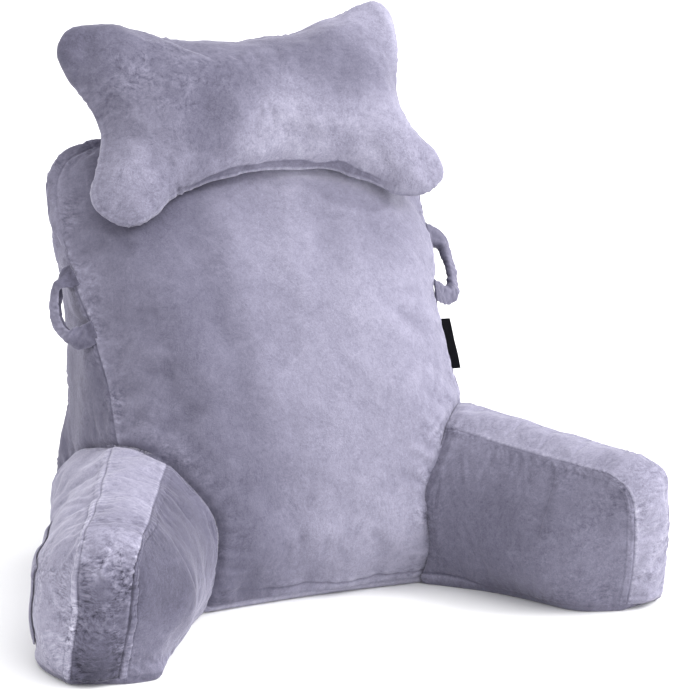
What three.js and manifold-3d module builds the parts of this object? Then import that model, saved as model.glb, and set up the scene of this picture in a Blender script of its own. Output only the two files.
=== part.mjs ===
// Bed-rest reading pillow: a wedge backrest, two splayed armrests, a bone-shaped
// neck pillow, two strap handles, a side label and a flat side pocket.
// Millimetres, +Z up, the sitter faces -Y. Each mesh is one closed, filled form.
import * as THREE from 'three';
import { mergeVertices } from 'three/addons/utils/BufferGeometryUtils.js';
import Module from 'manifold-3d';

const wasm = await Module();
wasm.setup();

// ------------------------------------------------------------ driving sizes
const GAP = 0.4;              // clearance between neighbouring solids
const SEAM_Z = 9;             // height of the seam round the base panel
const BASE_TUCK = 10;         // how far the flat base lies inside that seam

// Backrest: a row for each level, from the base seam to the top seam.
// xF yF zF front seam, yC zC middle of the front face, xR yR zR rear seam, yB middle of the rear face,
// dx how far the filling has pushed the level sideways
const BACK = [
  { v: 0.00, xF: 214, yF: 80,  zF: 9,   yC: 55,  zC: 9,   xR: 224, yR: 352, zR: 9,   yB: 356, dx: 0 },
  { v: 0.07, xF: 218, yF: 90,  zF: 42,  yC: 44,  zC: 42,  xR: 227, yR: 356, zR: 42,  yB: 366, dx: 0 },
  { v: 0.15, xF: 222, yF: 104, zF: 82,  yC: 41,  zC: 82,  xR: 226, yR: 360, zR: 82,  yB: 374, dx: 0 },
  { v: 0.24, xF: 224, yF: 123, zF: 124, yC: 50,  zC: 124, xR: 223, yR: 363, zR: 124, yB: 379, dx: 0 },
  { v: 0.37, xF: 224, yF: 152, zF: 190, yC: 72,  zC: 190, xR: 214, yR: 367, zR: 190, yB: 384, dx: 0 },
  { v: 0.50, xF: 222, yF: 196, zF: 258, yC: 112, zC: 259, xR: 210, yR: 370, zR: 258, yB: 387, dx: 0 },
  { v: 0.60, xF: 225, yF: 236, zF: 312, yC: 152, zC: 315, xR: 211, yR: 372, zR: 312, yB: 389, dx: 0 },
  { v: 0.70, xF: 233, yF: 276, zF: 360, yC: 194, zC: 366, xR: 218, yR: 375, zR: 360, yB: 391, dx: 3 },
  { v: 0.78, xF: 236, yF: 316, zF: 402, yC: 238, zC: 409, xR: 227, yR: 379, zR: 402, yB: 394, dx: 5 },
  { v: 0.85, xF: 234, yF: 346, zF: 436, yC: 276, zC: 444, xR: 233, yR: 384, zR: 436, yB: 398, dx: 6 },
  { v: 0.90, xF: 227, yF: 364, zF: 462, yC: 307, zC: 470, xR: 230, yR: 389, zR: 462, yB: 401, dx: 4 },
  { v: 0.94, xF: 213, yF: 374, zF: 481, yC: 335, zC: 489, xR: 217, yR: 393, zR: 481, yB: 403, dx: 1 },
  { v: 0.97, xF: 194, yF: 379, zF: 493, yC: 357, zC: 501, xR: 199, yR: 396, zR: 493, yB: 404, dx: -2 },
  { v: 1.00, xF: 168, yF: 382, zF: 501, yC: 378, zC: 509, xR: 169, yR: 398, zR: 501, yB: 402, dx: -3 },
];
const BACK_FULL = 4.5;        // how squarely the front face fills out to its seams
const BACK_DIP = 10;          // the base seam draws back between the arms
const BOX_SWELL = 7;          // swell of the side strip

// Armrests: the axis of the right arm on the floor plan, and its splay.
const ARM_X = 205, ARM_Y = 127.5, ARM_SPLAY = 27.5;
// A row for each section along the arm, from inside the backrest to the front.
// z p: height and offset of the inner (I) and outer (O) seam, b: swell past the seam, f: edge of the base
const ARM = [
  { a: -185, zI: 160, zO: 140, pI: -30, pO: 40, bI: 30, bO: 66, fI: -55, fO: 98 },
  { a: -150, zI: 172, zO: 158, pI: -32, pO: 37, bI: 40, bO: 78, fI: -60, fO: 106 },
  { a: -110, zI: 181, zO: 175, pI: -33, pO: 35, bI: 48, bO: 77, fI: -72, fO: 104 },
  { a: -70,  zI: 183, zO: 187, pI: -34, pO: 35, bI: 58, bO: 73, fI: -82, fO: 98 },
  { a: -30,  zI: 184, zO: 192, pI: -35, pO: 35, bI: 63, bO: 64, fI: -88, fO: 91 },
  { a: 10,   zI: 184, zO: 193, pI: -35, pO: 34, bI: 65, bO: 58, fI: -86, fO: 86 },
  { a: 50,   zI: 184, zO: 193, pI: -36, pO: 32, bI: 62, bO: 55, fI: -74, fO: 82 },
  { a: 100,  zI: 181, zO: 192, pI: -36, pO: 30, bI: 58, bO: 55, fI: -62, fO: 79 },
  { a: 150,  zI: 180, zO: 190, pI: -37, pO: 28, bI: 55, bO: 56, fI: -54, fO: 79 },
  { a: 200,  zI: 181, zO: 190, pI: -39, pO: 26, bI: 53, bO: 57, fI: -51, fO: 80 },
  { a: 250,  zI: 181, zO: 188, pI: -39, pO: 25, bI: 52, bO: 58, fI: -50, fO: 81 },
  { a: 300,  zI: 180, zO: 186, pI: -39, pO: 25, bI: 52, bO: 58, fI: -50, fO: 81 },
];
// how much fuller each arm is stuffed past those rows: outer swell and base, inner swell and base, outer swell
// and inner base where it joins the backrest, and the length over which its inner base edge dies out at the front
const EVEN = { bO: 0, fO: 0, bI: 0, fI: 0, jO: 0, jI: -8, reach: 72 };
const LEFT_FULLER = { bO: 14, fO: 9, bI: -3, fI: 0, jO: 9, jI: 6, reach: 28 };
// The front end, a row for each height w (0 base seam, 1 top seam).
const NOSE = [
  { w: 0.00, aI: 275, pI: -9,  aO: 286, pO: 46 },
  { w: 0.30, aI: 291, pI: -20, aO: 297, pO: 39 },
  { w: 0.58, aI: 298, pI: -27, aO: 303, pO: 33 },
  { w: 0.78, aI: 300, pI: -32, aO: 305, pO: 30 },
  { w: 0.89, aI: 295, pI: -35, aO: 303, pO: 30 },
  { w: 0.96, aI: 284, pI: -38, aO: 292, pO: 28 },
  { w: 1.00, aI: 266, pI: -39, aO: 271, pO: 26 },
];
const ARM_REAR = -185;
// depth below the seam, as a share of height, where the swell is fullest: along the arm, and at the backrest
const SWELL_AT = { I: 0.58, O: 0.47 }, SHOULDER_AT = { I: 0.45, O: 0.37 };
const NOSE_REACH = 95;        // length over which the swell dies out towards the front seam
const FOOT_REACH = 72;        // the same for the outer edge of the base
const GUSSET_CROWN = 7;

// Neck pillow: its bone outline in its own plane, a row for each turn from the top middle to the bottom middle,
// down the +X side and down the -X side, whose top lobe is stuffed a little fuller.
const BONE_RIGHT = [
  { x: 0, t: 98 }, { x: 55, t: 98 }, { x: 93, t: 104 }, { x: 131, t: 113 }, { x: 168, t: 124 },
  { x: 191, t: 130 }, { x: 205, t: 127 }, { x: 213, t: 112 }, { x: 213, t: 82 }, { x: 207, t: 47 }, { x: 197, t: 2 },
  { x: 198, t: -20 }, { x: 213, t: -55 }, { x: 228, t: -82 }, { x: 229, t: -108 }, { x: 212, t: -125 },
  { x: 189, t: -129 }, { x: 156, t: -120 }, { x: 125, t: -101 }, { x: 81, t: -84 }, { x: 38, t: -77 }, { x: 0, t: -74 },
];
const BONE_LEFT = [
  { x: 0, t: 98 }, { x: -55, t: 101 }, { x: -93, t: 113 }, { x: -132, t: 127 }, { x: -177, t: 132 },
  { x: -211, t: 125 }, { x: -226, t: 104 }, { x: -220, t: 73 }, { x: -207, t: 47 }, { x: -198, t: 2 },
  { x: -199, t: -20 }, { x: -213, t: -55 }, { x: -227, t: -82 }, { x: -226, t: -106 }, { x: -209, t: -122 },
  { x: -189, t: -128 }, { x: -156, t: -120 }, { x: -125, t: -101 }, { x: -81, t: -84 }, { x: -38, t: -77 }, { x: 0, t: -74 },
];
const NECK_AT = [17, 330, 538.5];
const NECK_LEAN = 35;         // degrees from upright, leaning back
const NECK_SKEW = -0.03;      // the top sits a little towards -X of the bottom
const NECK_THICK = 56;        // half thickness in the middle
const NECK_CORE = [150, 52];  // the fill evens out into this oval round the middle
const NECK_RINGS = [0.0, 0.25, 0.47, 0.66, 0.81, 0.92, 1.0];
const NECK_STEPS = 56;

// Strap handles: path in the plane of the side seam, q out from the seam, w along it,
// wide and thick are the strap's width and thickness there.
const STRAP = [
  { q: -9, w: 0,  wide: 31, thick: 3.2 },
  { q: 12, w: 2,  wide: 31, thick: 3.4 },
  { q: 28, w: 7,  wide: 25, thick: 5.5 },
  { q: 38, w: 19, wide: 15, thick: 8.0 },
  { q: 41, w: 35, wide: 13, thick: 9.0 },
  { q: 37, w: 52, wide: 13, thick: 8.5 },
  { q: 28, w: 67, wide: 16, thick: 6.5 },
  { q: 11, w: 77, wide: 26, thick: 4.0 },
  { q: -9, w: 79, wide: 30, thick: 3.2 },
];
// the lower end's middle beside the side seam, and how far the loop stands out as a share of q; both as on the +X side
const STRAP_LEFT = { low: [225, 235, 310], out: 0.87 }, STRAP_RIGHT = { low: [229, 237, 311], out: 1.0 };
const STRAP_RISE = [9, 49, 61];       // from there to the upper end
const STRAP_SWING = 40;               // degrees that the loops hang back from straight out

// Label: a folded ribbon tab caught in the right side seam.
const LABEL_AT = [219, 196, 257.5], LABEL_LONG = 64, LABEL_OUT = 18, LABEL_THICK = 1.6, LABEL_SWING = 14;

// Pocket: a flat patch on the outer face of the left arm, open along its top edge.
const POCKET = { a0: 64, a1: 224, z0: 22, z1: 124, thick: 2.0, sewn: 1.4, mouth: 4.0 };

const VELVET = { color: 0xa9a7c0, roughness: 0.92, metalness: 0.0 };
const RIBBON = { color: 0x111114, roughness: 0.8, metalness: 0.0 };

// ------------------------------------------------------------ helpers
// Smooth reading of a table: cubic through the rows, held at both ends.
function reader(rows, key) {
  const names = Object.keys(rows[0]).filter((n) => n !== key);
  const slope = rows.map((_, i) => {
    const lo = rows[Math.max(i - 1, 0)], hi = rows[Math.min(i + 1, rows.length - 1)];
    return Object.fromEntries(names.map((n) => [n, (hi[n] - lo[n]) / (hi[key] - lo[key])]));
  });
  return (x) => {
    let i = 0;
    while (i < rows.length - 2 && x > rows[i + 1][key]) i++;
    const r0 = rows[i], r1 = rows[i + 1], h = r1[key] - r0[key];
    const s = Math.min(Math.max((x - r0[key]) / h, 0), 1);
    const s2 = s * s, s3 = s2 * s, out = {};
    for (const n of names) {
      out[n] = (2 * s3 - 3 * s2 + 1) * r0[n] + (s3 - 2 * s2 + s) * h * slope[i][n]
             + (3 * s2 - 2 * s3) * r1[n] + (s3 - s2) * h * slope[i + 1][n];
    }
    return out;
  };
}
const mix = (a, b, t) => a + (b - a) * t;
const clamp01 = (x) => Math.min(Math.max(x, 0), 1);
const rise = (x) => Math.sin(Math.PI / 2 * clamp01(x));
const soft = (x) => { const c = clamp01(x); return c * c * (3 - 2 * c); };
const lerp3 = (p, q, t) => (t === 0 ? p : t === 1 ? q : [mix(p[0], q[0], t), mix(p[1], q[1], t), mix(p[2], q[2], t)]);

// A skin collects rectangular patches of points that share their edges exactly.
class Skin {
  constructor() { this.xyz = []; }
  patch(rows, flip = false) {
    for (let i = 0; i + 1 < rows.length; i++) {
      for (let j = 0; j + 1 < rows[i].length; j++) {
        const a = rows[i][j], b = rows[i + 1][j], c = rows[i + 1][j + 1], d = rows[i][j + 1];
        const tri = (p, q, r) => this.xyz.push(...(flip ? [...p, ...r, ...q] : [...p, ...q, ...r]));
        tri(a, b, c);
        tri(a, c, d);
      }
    }
  }
  solid() {
    const g = new THREE.BufferGeometry();
    g.setAttribute('position', new THREE.Float32BufferAttribute(this.xyz, 3));
    return toSolid(g);
  }
}
function toSolid(geometry) {
  const g = geometry.clone();
  g.deleteAttribute('normal');
  g.deleteAttribute('uv');
  const m = mergeVertices(g.index ? g.toNonIndexed() : g, 1e-4);
  const idx = [];
  const src = m.index.array;
  for (let k = 0; k < src.length; k += 3) {
    const [a, b, c] = [src[k], src[k + 1], src[k + 2]];
    if (a !== b && b !== c && c !== a) idx.push(a, b, c);
  }
  return new wasm.Manifold(new wasm.Mesh({
    numProp: 3, vertProperties: new Float32Array(m.attributes.position.array), triVerts: new Uint32Array(idx),
  }));
}
function toGeometry(solid) {
  const m = solid.getMesh();
  const g = new THREE.BufferGeometry();
  g.setAttribute('position', new THREE.BufferAttribute(new Float32Array(m.vertProperties), 3));
  g.setIndex(new THREE.BufferAttribute(new Uint32Array(m.triVerts), 1));
  g.computeVertexNormals();
  return g;
}
const range = (n) => Array.from({ length: n + 1 }, (_, i) => i / n);

// ------------------------------------------------------------ backrest
const backAt = reader(BACK, 'v');
const ACROSS = range(18).map((u) => { const t = 2 * u - 1; return 1.5 * t - 0.5 * t * t * t; });
const LEVELS = [0, 0.035, 0.07, 0.11, 0.15, 0.2, 0.25, 0.31, 0.37, 0.44, 0.51, 0.58, 0.65, 0.715, 0.78, 0.835, 0.88, 0.915, 0.945, 0.975, 1];
const STRIP = [0, 0.05, 0.35, 0.65, 0.95, 1];

function backFront(s, v, grow = 0) {
  const r = backAt(v), f = 1 - Math.abs(s) ** BACK_FULL;
  const x = s * r.xF;
  const dip = BACK_DIP * Math.max(0, 1 - (x / 150) ** 2) * Math.max(0, 1 - v / 0.1) ** 1.5;
  return [x * (1 + grow / 230) + r.dx, mix(r.yF, r.yC, f) + dip - grow, mix(r.zF, r.zC, f) + grow * v];
}
function backRear(s, v, grow = 0) {
  const r = backAt(v), f = 1 - Math.abs(s) ** 3;
  return [s * r.xR * (1 + grow / 230) + r.dx, mix(r.yR, r.yB, f) + grow, r.zR + grow * v];
}
// Side and top strip between the front and rear seams; (nx, nz) points outward.
function backStrip(s, v, t, nx, nz, grow) {
  const p = lerp3(backFront(s, v, grow), backRear(s, v, grow), t);
  if (t === 0 || t === 1) return p;
  const swell = BOX_SWELL * 4 * t * (1 - t);
  return [p[0] + nx * swell, p[1], p[2] + nz * swell];
}
function makeBackrest(grow = 0) {
  const skin = new Skin();
  skin.patch(LEVELS.map((v) => ACROSS.map((s) => backFront(s, v, grow))), true);
  skin.patch(LEVELS.map((v) => ACROSS.map((s) => backRear(s, v, grow))));
  // the strip runs up one side, over the top and down the other side
  const ring = [];
  for (const v of LEVELS) ring.push({ s: -1, v });
  for (const s of ACROSS.slice(1, -1)) ring.push({ s, v: 1 });
  for (const v of [...LEVELS].reverse()) ring.push({ s: 1, v });
  const out = ring.map(({ s, v }, i) => {
    const a = backFront(...Object.values(ring[Math.max(i - 1, 0)]));
    const b = backFront(...Object.values(ring[Math.min(i + 1, ring.length - 1)]));
    const dx = b[0] - a[0], dz = b[2] - a[2], l = Math.hypot(dx, dz);
    return STRIP.map((t) => (v === 0 ? backStrip(s, v, t, s, 0, grow) : backStrip(s, v, t, -dz / l, dx / l, grow)));
  });
  skin.patch(out);
  // base: flat on the floor inside its seam
  const base = ACROSS.map((s, i) => STRIP.map((t, j) => {
    const edge = backStrip(s, 0, t, Math.abs(s) === 1 ? s : 0, 0, grow);
    if (i === 0 || j === 0 || i === ACROSS.length - 1 || j === STRIP.length - 1) return edge;
    return [edge[0] * (1 - BASE_TUCK / 214), edge[1], -grow];
  }));
  skin.patch(base, true);
  return skin.solid();
}

// ------------------------------------------------------------ armrests
const armAt = reader(ARM, 'a');
const noseAt = reader(NOSE, 'w');
const A_STEPS = range(20).map((u) => 1 - (1 - u) ** 1.35);
const W_STEPS = [0, 0.1, 0.22, 0.35, 0.48, 0.6, 0.7, 0.79, 0.87, 0.92, 0.965, 1];
const G_STEPS = [0, 0.14, 0.38, 0.62, 0.86, 1];

const splay = ARM_SPLAY * Math.PI / 180;
const armAxis = [Math.sin(splay), -Math.cos(splay)], armSide = [Math.cos(splay), Math.sin(splay)];
const toPlan = (a, p, z) => [ARM_X + armAxis[0] * a + armSide[0] * p, ARM_Y + armAxis[1] * a + armSide[1] * p, z];

// One long side panel: side is 'I' (towards the sitter) or 'O'; u along the arm, w up.
function armPanel(side, u, w, more) {
  const nose = noseAt(w), aEnd = nose['a' + side];
  const a = mix(ARM_REAR, aEnd, u), r = armAt(a), sgn = side === 'I' ? -1 : 1;
  const top = r['z' + side], z = mix(SEAM_Z, top, w);
  const near = soft(1 - (aEnd - a) / NOSE_REACH);
  const p0 = mix(r['p' + side], nose['p' + side], near);
  const end = rise((aEnd - a) / NOSE_REACH);
  const extra = soft(a / 120);
  const root = soft((a + 150) / 70) * (1 - soft((a - 10) / 110));
  const swell = r['b' + side] + extra * more['b' + side] + (side === 'O' ? root * more.jO : 0);
  const reach = r['f' + side] + sgn * (BASE_TUCK * 0.8 + extra * more['f' + side]) + (side === 'I' ? root * more.jI : 0);
  const full = p0 + sgn * swell * end;
  const foot = mix(p0, reach, rise((aEnd - a) / (side === 'O' ? FOOT_REACH : more.reach)));
  const depth = 1 - w, fullAt = mix(SHOULDER_AT[side], SWELL_AT[side], soft((a + 20) / 130));
  const p = depth < fullAt ? mix(p0, full, rise(depth / fullAt))
    : mix(full, foot, ((depth - fullAt) / (1 - fullAt)) ** 1.9);
  return [a, p, z];
}
function armGusset(u, w, t, na, nz, more) {
  const p = lerp3(armPanel('I', u, w, more), armPanel('O', u, w, more), t);
  if (t === 0 || t === 1) return p;
  const crown = GUSSET_CROWN * 4 * t * (1 - t);
  return [p[0] + na * crown, p[1], p[2] + nz * crown];
}
function makeArm(more) {
  const skin = new Skin();
  const put = (rows) => rows.map((row) => row.map((q) => toPlan(...q)));
  const panel = (side) => put(W_STEPS.map((w) => A_STEPS.map((u) => armPanel(side, u, w, more))));
  const across = (u, w, na, nz) => G_STEPS.map((t) => armGusset(u, w, t, na, nz, more));
  skin.patch(panel('I'), true);
  skin.patch(panel('O'));
  // gusset: up the nose, then back along the top
  const ring = [];
  for (const w of W_STEPS) ring.push({ u: 1, w });
  for (const u of [...A_STEPS].reverse().slice(1)) ring.push({ u, w: 1 });
  skin.patch(put(ring.map(({ u, w }, i) => {
    if (i === 0) return across(u, w, 0, 0);
    if (i === ring.length - 1) return across(u, w, 0, 1);
    const pa = armPanel('I', ring[i - 1].u, ring[i - 1].w, more), pb = armPanel('I', ring[i + 1].u, ring[i + 1].w, more);
    const da = pb[0] - pa[0], dz = pb[2] - pa[2], l = Math.hypot(da, dz);
    return across(u, w, dz / l, -da / l);
  })), true);
  // rear end, hidden inside the backrest before it is cut away
  skin.patch(put(W_STEPS.map((w) => across(0, w, 0, w === 1 ? 1 : 0))));
  // base
  skin.patch(put(A_STEPS.map((u, i) => across(u, 0, 0, 0).map((edge, j) => {
    if (i === 0 || j === 0 || i === A_STEPS.length - 1 || j === G_STEPS.length - 1) return edge;
    return [Math.min(edge[0], 268), edge[1] * 0.99, 0];
  }))), true);
  return skin.solid();
}

// ------------------------------------------------------------ neck pillow
function makeNeck(cutter) {
  const turns = [...BONE_RIGHT, ...BONE_LEFT.slice(1, -1).reverse()].map(({ x, t }) => new THREE.Vector3(x, t, 0));
  const outline = new THREE.CatmullRomCurve3(turns, true).getSpacedPoints(NECK_STEPS).slice(0, NECK_STEPS);
  const lean = NECK_LEAN * Math.PI / 180;
  const up = [0, Math.sin(lean), Math.cos(lean)], face = [0, -Math.cos(lean), Math.sin(lean)];
  const put = (x, t, h) => [0, 1, 2].map((k) => NECK_AT[k] + (k === 0 ? x + NECK_SKEW * t : 0) + up[k] * t + face[k] * h);
  const flat = NECK_RINGS.map((ring) => outline.map((o) => {
    const ang = Math.atan2(o.y / NECK_CORE[1], o.x / NECK_CORE[0]), k = ring ** 1.2;
    return [ring * mix(NECK_CORE[0] * Math.cos(ang), o.x, k), ring * mix(NECK_CORE[1] * Math.sin(ang), o.y, k)];
  }));
  // the fill lifts each point of the panel as far as the outline round it lets it:
  // a relaxed membrane over a square net of points inside the outline
  const cell = 6, nx = 84, nt = 52, net = new Float64Array(nx * nt), inside = [];
  const within = (x, t) => outline.reduce((odd, p, i) => {
    const q = outline[(i + 1) % outline.length];
    return (p.y > t) !== (q.y > t) && x < p.x + (t - p.y) / (q.y - p.y) * (q.x - p.x) ? !odd : odd;
  }, false);
  for (let j = 1; j < nt - 1; j++) {
    for (let i = 1; i < nx - 1; i++) if (within((i - nx / 2) * cell, (j - nt / 2) * cell)) inside.push(j * nx + i);
  }
  for (let pass = 0; pass < 500; pass++) {
    for (const k of inside) net[k] += 1.85 * ((net[k - 1] + net[k + 1] + net[k - nx] + net[k + nx] + 1) / 4 - net[k]);
  }
  const lift = (x, t) => {
    const u = x / cell + nx / 2, v = t / cell + nt / 2, i = Math.floor(u), j = Math.floor(v), k = j * nx + i;
    return mix(mix(net[k], net[k + 1], u - i), mix(net[k + nx], net[k + nx + 1], u - i), v - j);
  };
  const tallest = lift(0, 0);
  const at = (r, i, sgn) => {
    const c = flat[r][i % NECK_STEPS];
    return put(...c, r === flat.length - 1 ? 0 : sgn * NECK_THICK * (Math.max(lift(...c), 0) / tallest) ** 0.6);
  };
  const skin = new Skin();
  const steps = Array.from({ length: NECK_STEPS + 1 }, (_, i) => i);
  skin.patch(flat.map((_, r) => steps.map((i) => at(r, i, 1))), true);
  skin.patch(flat.map((_, r) => steps.map((i) => at(r, i, -1))));
  return skin.solid().subtract(cutter);
}

// ------------------------------------------------------------ strap handles
function makeHandle({ low, out }) {
  const path = new THREE.CatmullRomCurve3(STRAP.map(({ q, w }) => new THREE.Vector3(q * out, w, 0)));
  const n = 30, sides = 10;
  const rise3 = new THREE.Vector3(...STRAP_RISE).normalize();
  const outward = new THREE.Vector3(1, 0, 0);
  outward.addScaledVector(rise3, -outward.dot(rise3)).normalize();
  outward.applyAxisAngle(rise3, STRAP_SWING * Math.PI / 180);
  const across = new THREE.Vector3().crossVectors(outward, rise3);
  const origin = new THREE.Vector3(...low);
  const sizeAt = reader(STRAP.map((r, i) => ({ i, wide: r.wide, thick: r.thick })), 'i');
  const rows = range(n).map((t) => {
    const c = path.getPoint(t), d = path.getTangent(t), sz = sizeAt(t * (STRAP.length - 1));
    return Array.from({ length: sides + 1 }, (_, k) => {
      const ang = 2 * Math.PI * (k % sides) / sides, cs = Math.cos(ang), sn = Math.sin(ang);
      const e = 0.55;
      const bx = Math.sign(cs) * Math.abs(cs) ** e * sz.wide / 2, bz = Math.sign(sn) * Math.abs(sn) ** e * sz.thick / 2;
      const q = c.x - d.y * bx, w = c.y + d.x * bx;
      return new THREE.Vector3().copy(origin).addScaledVector(outward, q).addScaledVector(rise3, w)
        .addScaledVector(across, bz).toArray();
    });
  });
  const skin = new Skin();
  skin.patch(rows, true);
  for (const [row, flip] of [[rows[0], true], [rows[n], false]]) {
    const mid = [0, 1, 2].map((k) => row.slice(0, sides).reduce((s, p) => s + p[k], 0) / sides);
    skin.patch([row.map(() => mid), row], flip);
  }
  return skin.solid();
}

// ------------------------------------------------------------ label and pocket
function makeLabel(cutter) {
  const along = new THREE.Vector3(0, 0.5, 0.866).normalize(), outward = new THREE.Vector3(1, 0, 0);
  outward.applyAxisAngle(along, LABEL_SWING * Math.PI / 180);
  const flat = new THREE.Vector3().crossVectors(outward, along);
  const root = 7, g = new THREE.BoxGeometry(LABEL_OUT + root, LABEL_THICK, LABEL_LONG, 2, 1, 6);
  const pos = g.attributes.position;
  for (let i = 0; i < pos.count; i++) {
    const out = pos.getX(i) + (LABEL_OUT - root) / 2;
    const curl = 0.9 * Math.sin(pos.getZ(i) / 17) * Math.max(out, 0) / LABEL_OUT;
    const p = new THREE.Vector3(...LABEL_AT).addScaledVector(along, pos.getZ(i))
      .addScaledVector(flat, -(pos.getY(i) + curl)).addScaledVector(outward, out);
    pos.setXYZ(i, p.x, p.y, p.z);
  }
  return toSolid(g).subtract(cutter);
}
function makePocket() {
  // the patch follows the outer arm panel, a little clear of it along the mouth
  const nU = 9, nW = 8;
  const skinAt = (a, z) => {
    let w = z / 190;
    for (let k = 0; k < 4; k++) w += (z - armPanel('O', (a - ARM_REAR) / (noseAt(w).aO - ARM_REAR), w, LEFT_FULLER)[2]) / 182;
    return armPanel('O', (a - ARM_REAR) / (noseAt(w).aO - ARM_REAR), w, LEFT_FULLER);
  };
  const point = (i, j, layer) => {
    const fu = i / nU, fw = j / nW;
    const a = mix(POCKET.a0, POCKET.a1, fu), z = mix(POCKET.z0, POCKET.z1, fw);
    const e = 3, c = skinAt(a, z), ca = skinAt(a + e, z), cz = skinAt(a, z + e);
    const ta = [ca[0] - c[0], ca[1] - c[1], ca[2] - c[2]], tz = [cz[0] - c[0], cz[1] - c[1], cz[2] - c[2]];
    let n = [ta[1] * tz[2] - ta[2] * tz[1], ta[2] * tz[0] - ta[0] * tz[2], ta[0] * tz[1] - ta[1] * tz[0]];
    const l = Math.hypot(...n) * (n[1] < 0 ? -1 : 1);
    n = n.map((x) => x / l);
    const off = mix(POCKET.sewn, POCKET.mouth, fw ** 1.6) + (layer ? POCKET.thick : 0);
    return toPlan(c[0] + n[0] * off, c[1] + n[1] * off, c[2] + n[2] * off);
  };
  const skin = new Skin();
  const I = Array.from({ length: nU + 1 }, (_, i) => i), J = Array.from({ length: nW + 1 }, (_, j) => j);
  skin.patch(I.map((i) => J.map((j) => point(i, j, 1))), true);
  skin.patch(I.map((i) => J.map((j) => point(i, j, 0))));
  skin.patch([0, 1].map((l) => J.map((j) => point(0, j, l))), true);
  skin.patch([0, 1].map((l) => J.map((j) => point(nU, j, l))));
  skin.patch([0, 1].map((l) => I.map((i) => point(i, 0, l))));
  skin.patch([0, 1].map((l) => I.map((i) => point(i, nW, l))), true);
  return skin.solid();
}

// ------------------------------------------------------------ the object
const mirror = (solid) => solid.mirror([1, 0, 0]);
const group = new THREE.Group();
function add(name, solid, look) {
  const mesh = new THREE.Mesh(toGeometry(solid), new THREE.MeshStandardMaterial({ name, ...look }));
  mesh.name = name;
  group.add(mesh);
}
const back = makeBackrest();
const cutter = makeBackrest(GAP);
add('backrest', back, VELVET);
add('arm_left', mirror(makeArm(LEFT_FULLER)).subtract(cutter), VELVET);
add('arm_right', makeArm(EVEN).subtract(cutter), VELVET);
add('neck_pillow', makeNeck(cutter), VELVET);
add('handle_left', mirror(makeHandle(STRAP_LEFT)).subtract(cutter), VELVET);
add('handle_right', makeHandle(STRAP_RIGHT).subtract(cutter), VELVET);
add('label', makeLabel(cutter), RIBBON);
add('pocket_left', mirror(makePocket()), VELVET);

// the origin: middle of the whole footprint, on the floor
const middle = new THREE.Box3().setFromObject(group).getCenter(new THREE.Vector3());
group.position.set(-middle.x, -middle.y, 0);

export default group;
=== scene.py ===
import math

import bpy
import numpy as np
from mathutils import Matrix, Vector
from mathutils.interpolate import poly_3d_calc
from mathutils.bvhtree import BVHTree
from mathutils.kdtree import KDTree


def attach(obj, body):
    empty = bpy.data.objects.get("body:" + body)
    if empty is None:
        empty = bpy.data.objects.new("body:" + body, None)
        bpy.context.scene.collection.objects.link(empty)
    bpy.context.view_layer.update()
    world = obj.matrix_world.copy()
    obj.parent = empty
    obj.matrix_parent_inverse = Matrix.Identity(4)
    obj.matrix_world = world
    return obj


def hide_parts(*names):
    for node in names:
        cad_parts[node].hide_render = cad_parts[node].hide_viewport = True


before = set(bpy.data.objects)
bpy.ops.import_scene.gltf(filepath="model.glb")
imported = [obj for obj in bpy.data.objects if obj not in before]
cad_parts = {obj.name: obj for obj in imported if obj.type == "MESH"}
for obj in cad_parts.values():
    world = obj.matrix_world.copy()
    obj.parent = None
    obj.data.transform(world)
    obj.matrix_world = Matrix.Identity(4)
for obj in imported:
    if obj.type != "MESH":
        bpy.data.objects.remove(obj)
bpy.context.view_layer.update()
scene = bpy.context.scene

MM = 0.001
# the tables below are in millimetres round the middle of the back; this moves them to the part's origin
SHIFT = np.array([5.1853, -130.4795, 0.0])


# ------------------------------------------------------------------ camera
def make_camera():
    az, el, dist = math.radians(-22.22), math.radians(17.72), 6.0
    back = Vector((math.sin(az) * math.cos(el), -math.cos(az) * math.cos(el), math.sin(el)))
    target = Vector((SHIFT[0] * MM, SHIFT[1] * MM, 0.30))
    data = bpy.data.cameras.new("camera")
    data.sensor_width = 36.0
    data.lens = 5084.0 / 700.0 * 36.0
    data.shift_x, data.shift_y = 0.0156, 0.0374
    data.clip_end = 50.0
    cam = bpy.data.objects.new("camera", data)
    cam.location = target + back * dist
    cam.rotation_euler = (-back).to_track_quat("-Z", "Y").to_euler()
    scene.collection.objects.link(cam)
    scene.camera = cam


make_camera()
KEY_DIR = (0.66, -0.36, 0.66)

# ------------------------------------------------------------------ sizes
BACK_COLS = ["v", "xF", "yF", "zF", "yC", "zC", "xR", "yR", "zR", "yB", "dx"]
BACK = [
    [0.00, 214, 80, 9, 55, 9, 224, 352, 9, 356, 0],
    [0.07, 218, 90, 42, 44, 42, 227, 356, 42, 366, 0],
    [0.15, 222, 104, 82, 41, 82, 226, 360, 82, 374, 0],
    [0.24, 224, 123, 124, 50, 124, 223, 363, 124, 379, 0],
    [0.37, 224, 152, 190, 72, 190, 214, 367, 190, 384, 0],
    [0.50, 222, 196, 258, 112, 259, 210, 370, 258, 387, 0],
    [0.60, 225, 236, 312, 152, 315, 211, 372, 312, 389, 0],
    [0.70, 233, 276, 360, 194, 366, 218, 375, 360, 391, 3],
    [0.78, 236, 316, 402, 238, 409, 227, 379, 402, 394, 5],
    [0.85, 234, 346, 436, 276, 444, 233, 384, 436, 398, 6],
    [0.90, 227, 364, 462, 307, 470, 230, 389, 462, 401, 4],
    [0.94, 213, 374, 481, 335, 489, 217, 393, 481, 403, 1],
    [0.97, 194, 379, 493, 357, 501, 199, 396, 493, 404, -2],
    [1.00, 168, 382, 501, 378, 509, 169, 398, 501, 402, -3],
]
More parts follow.
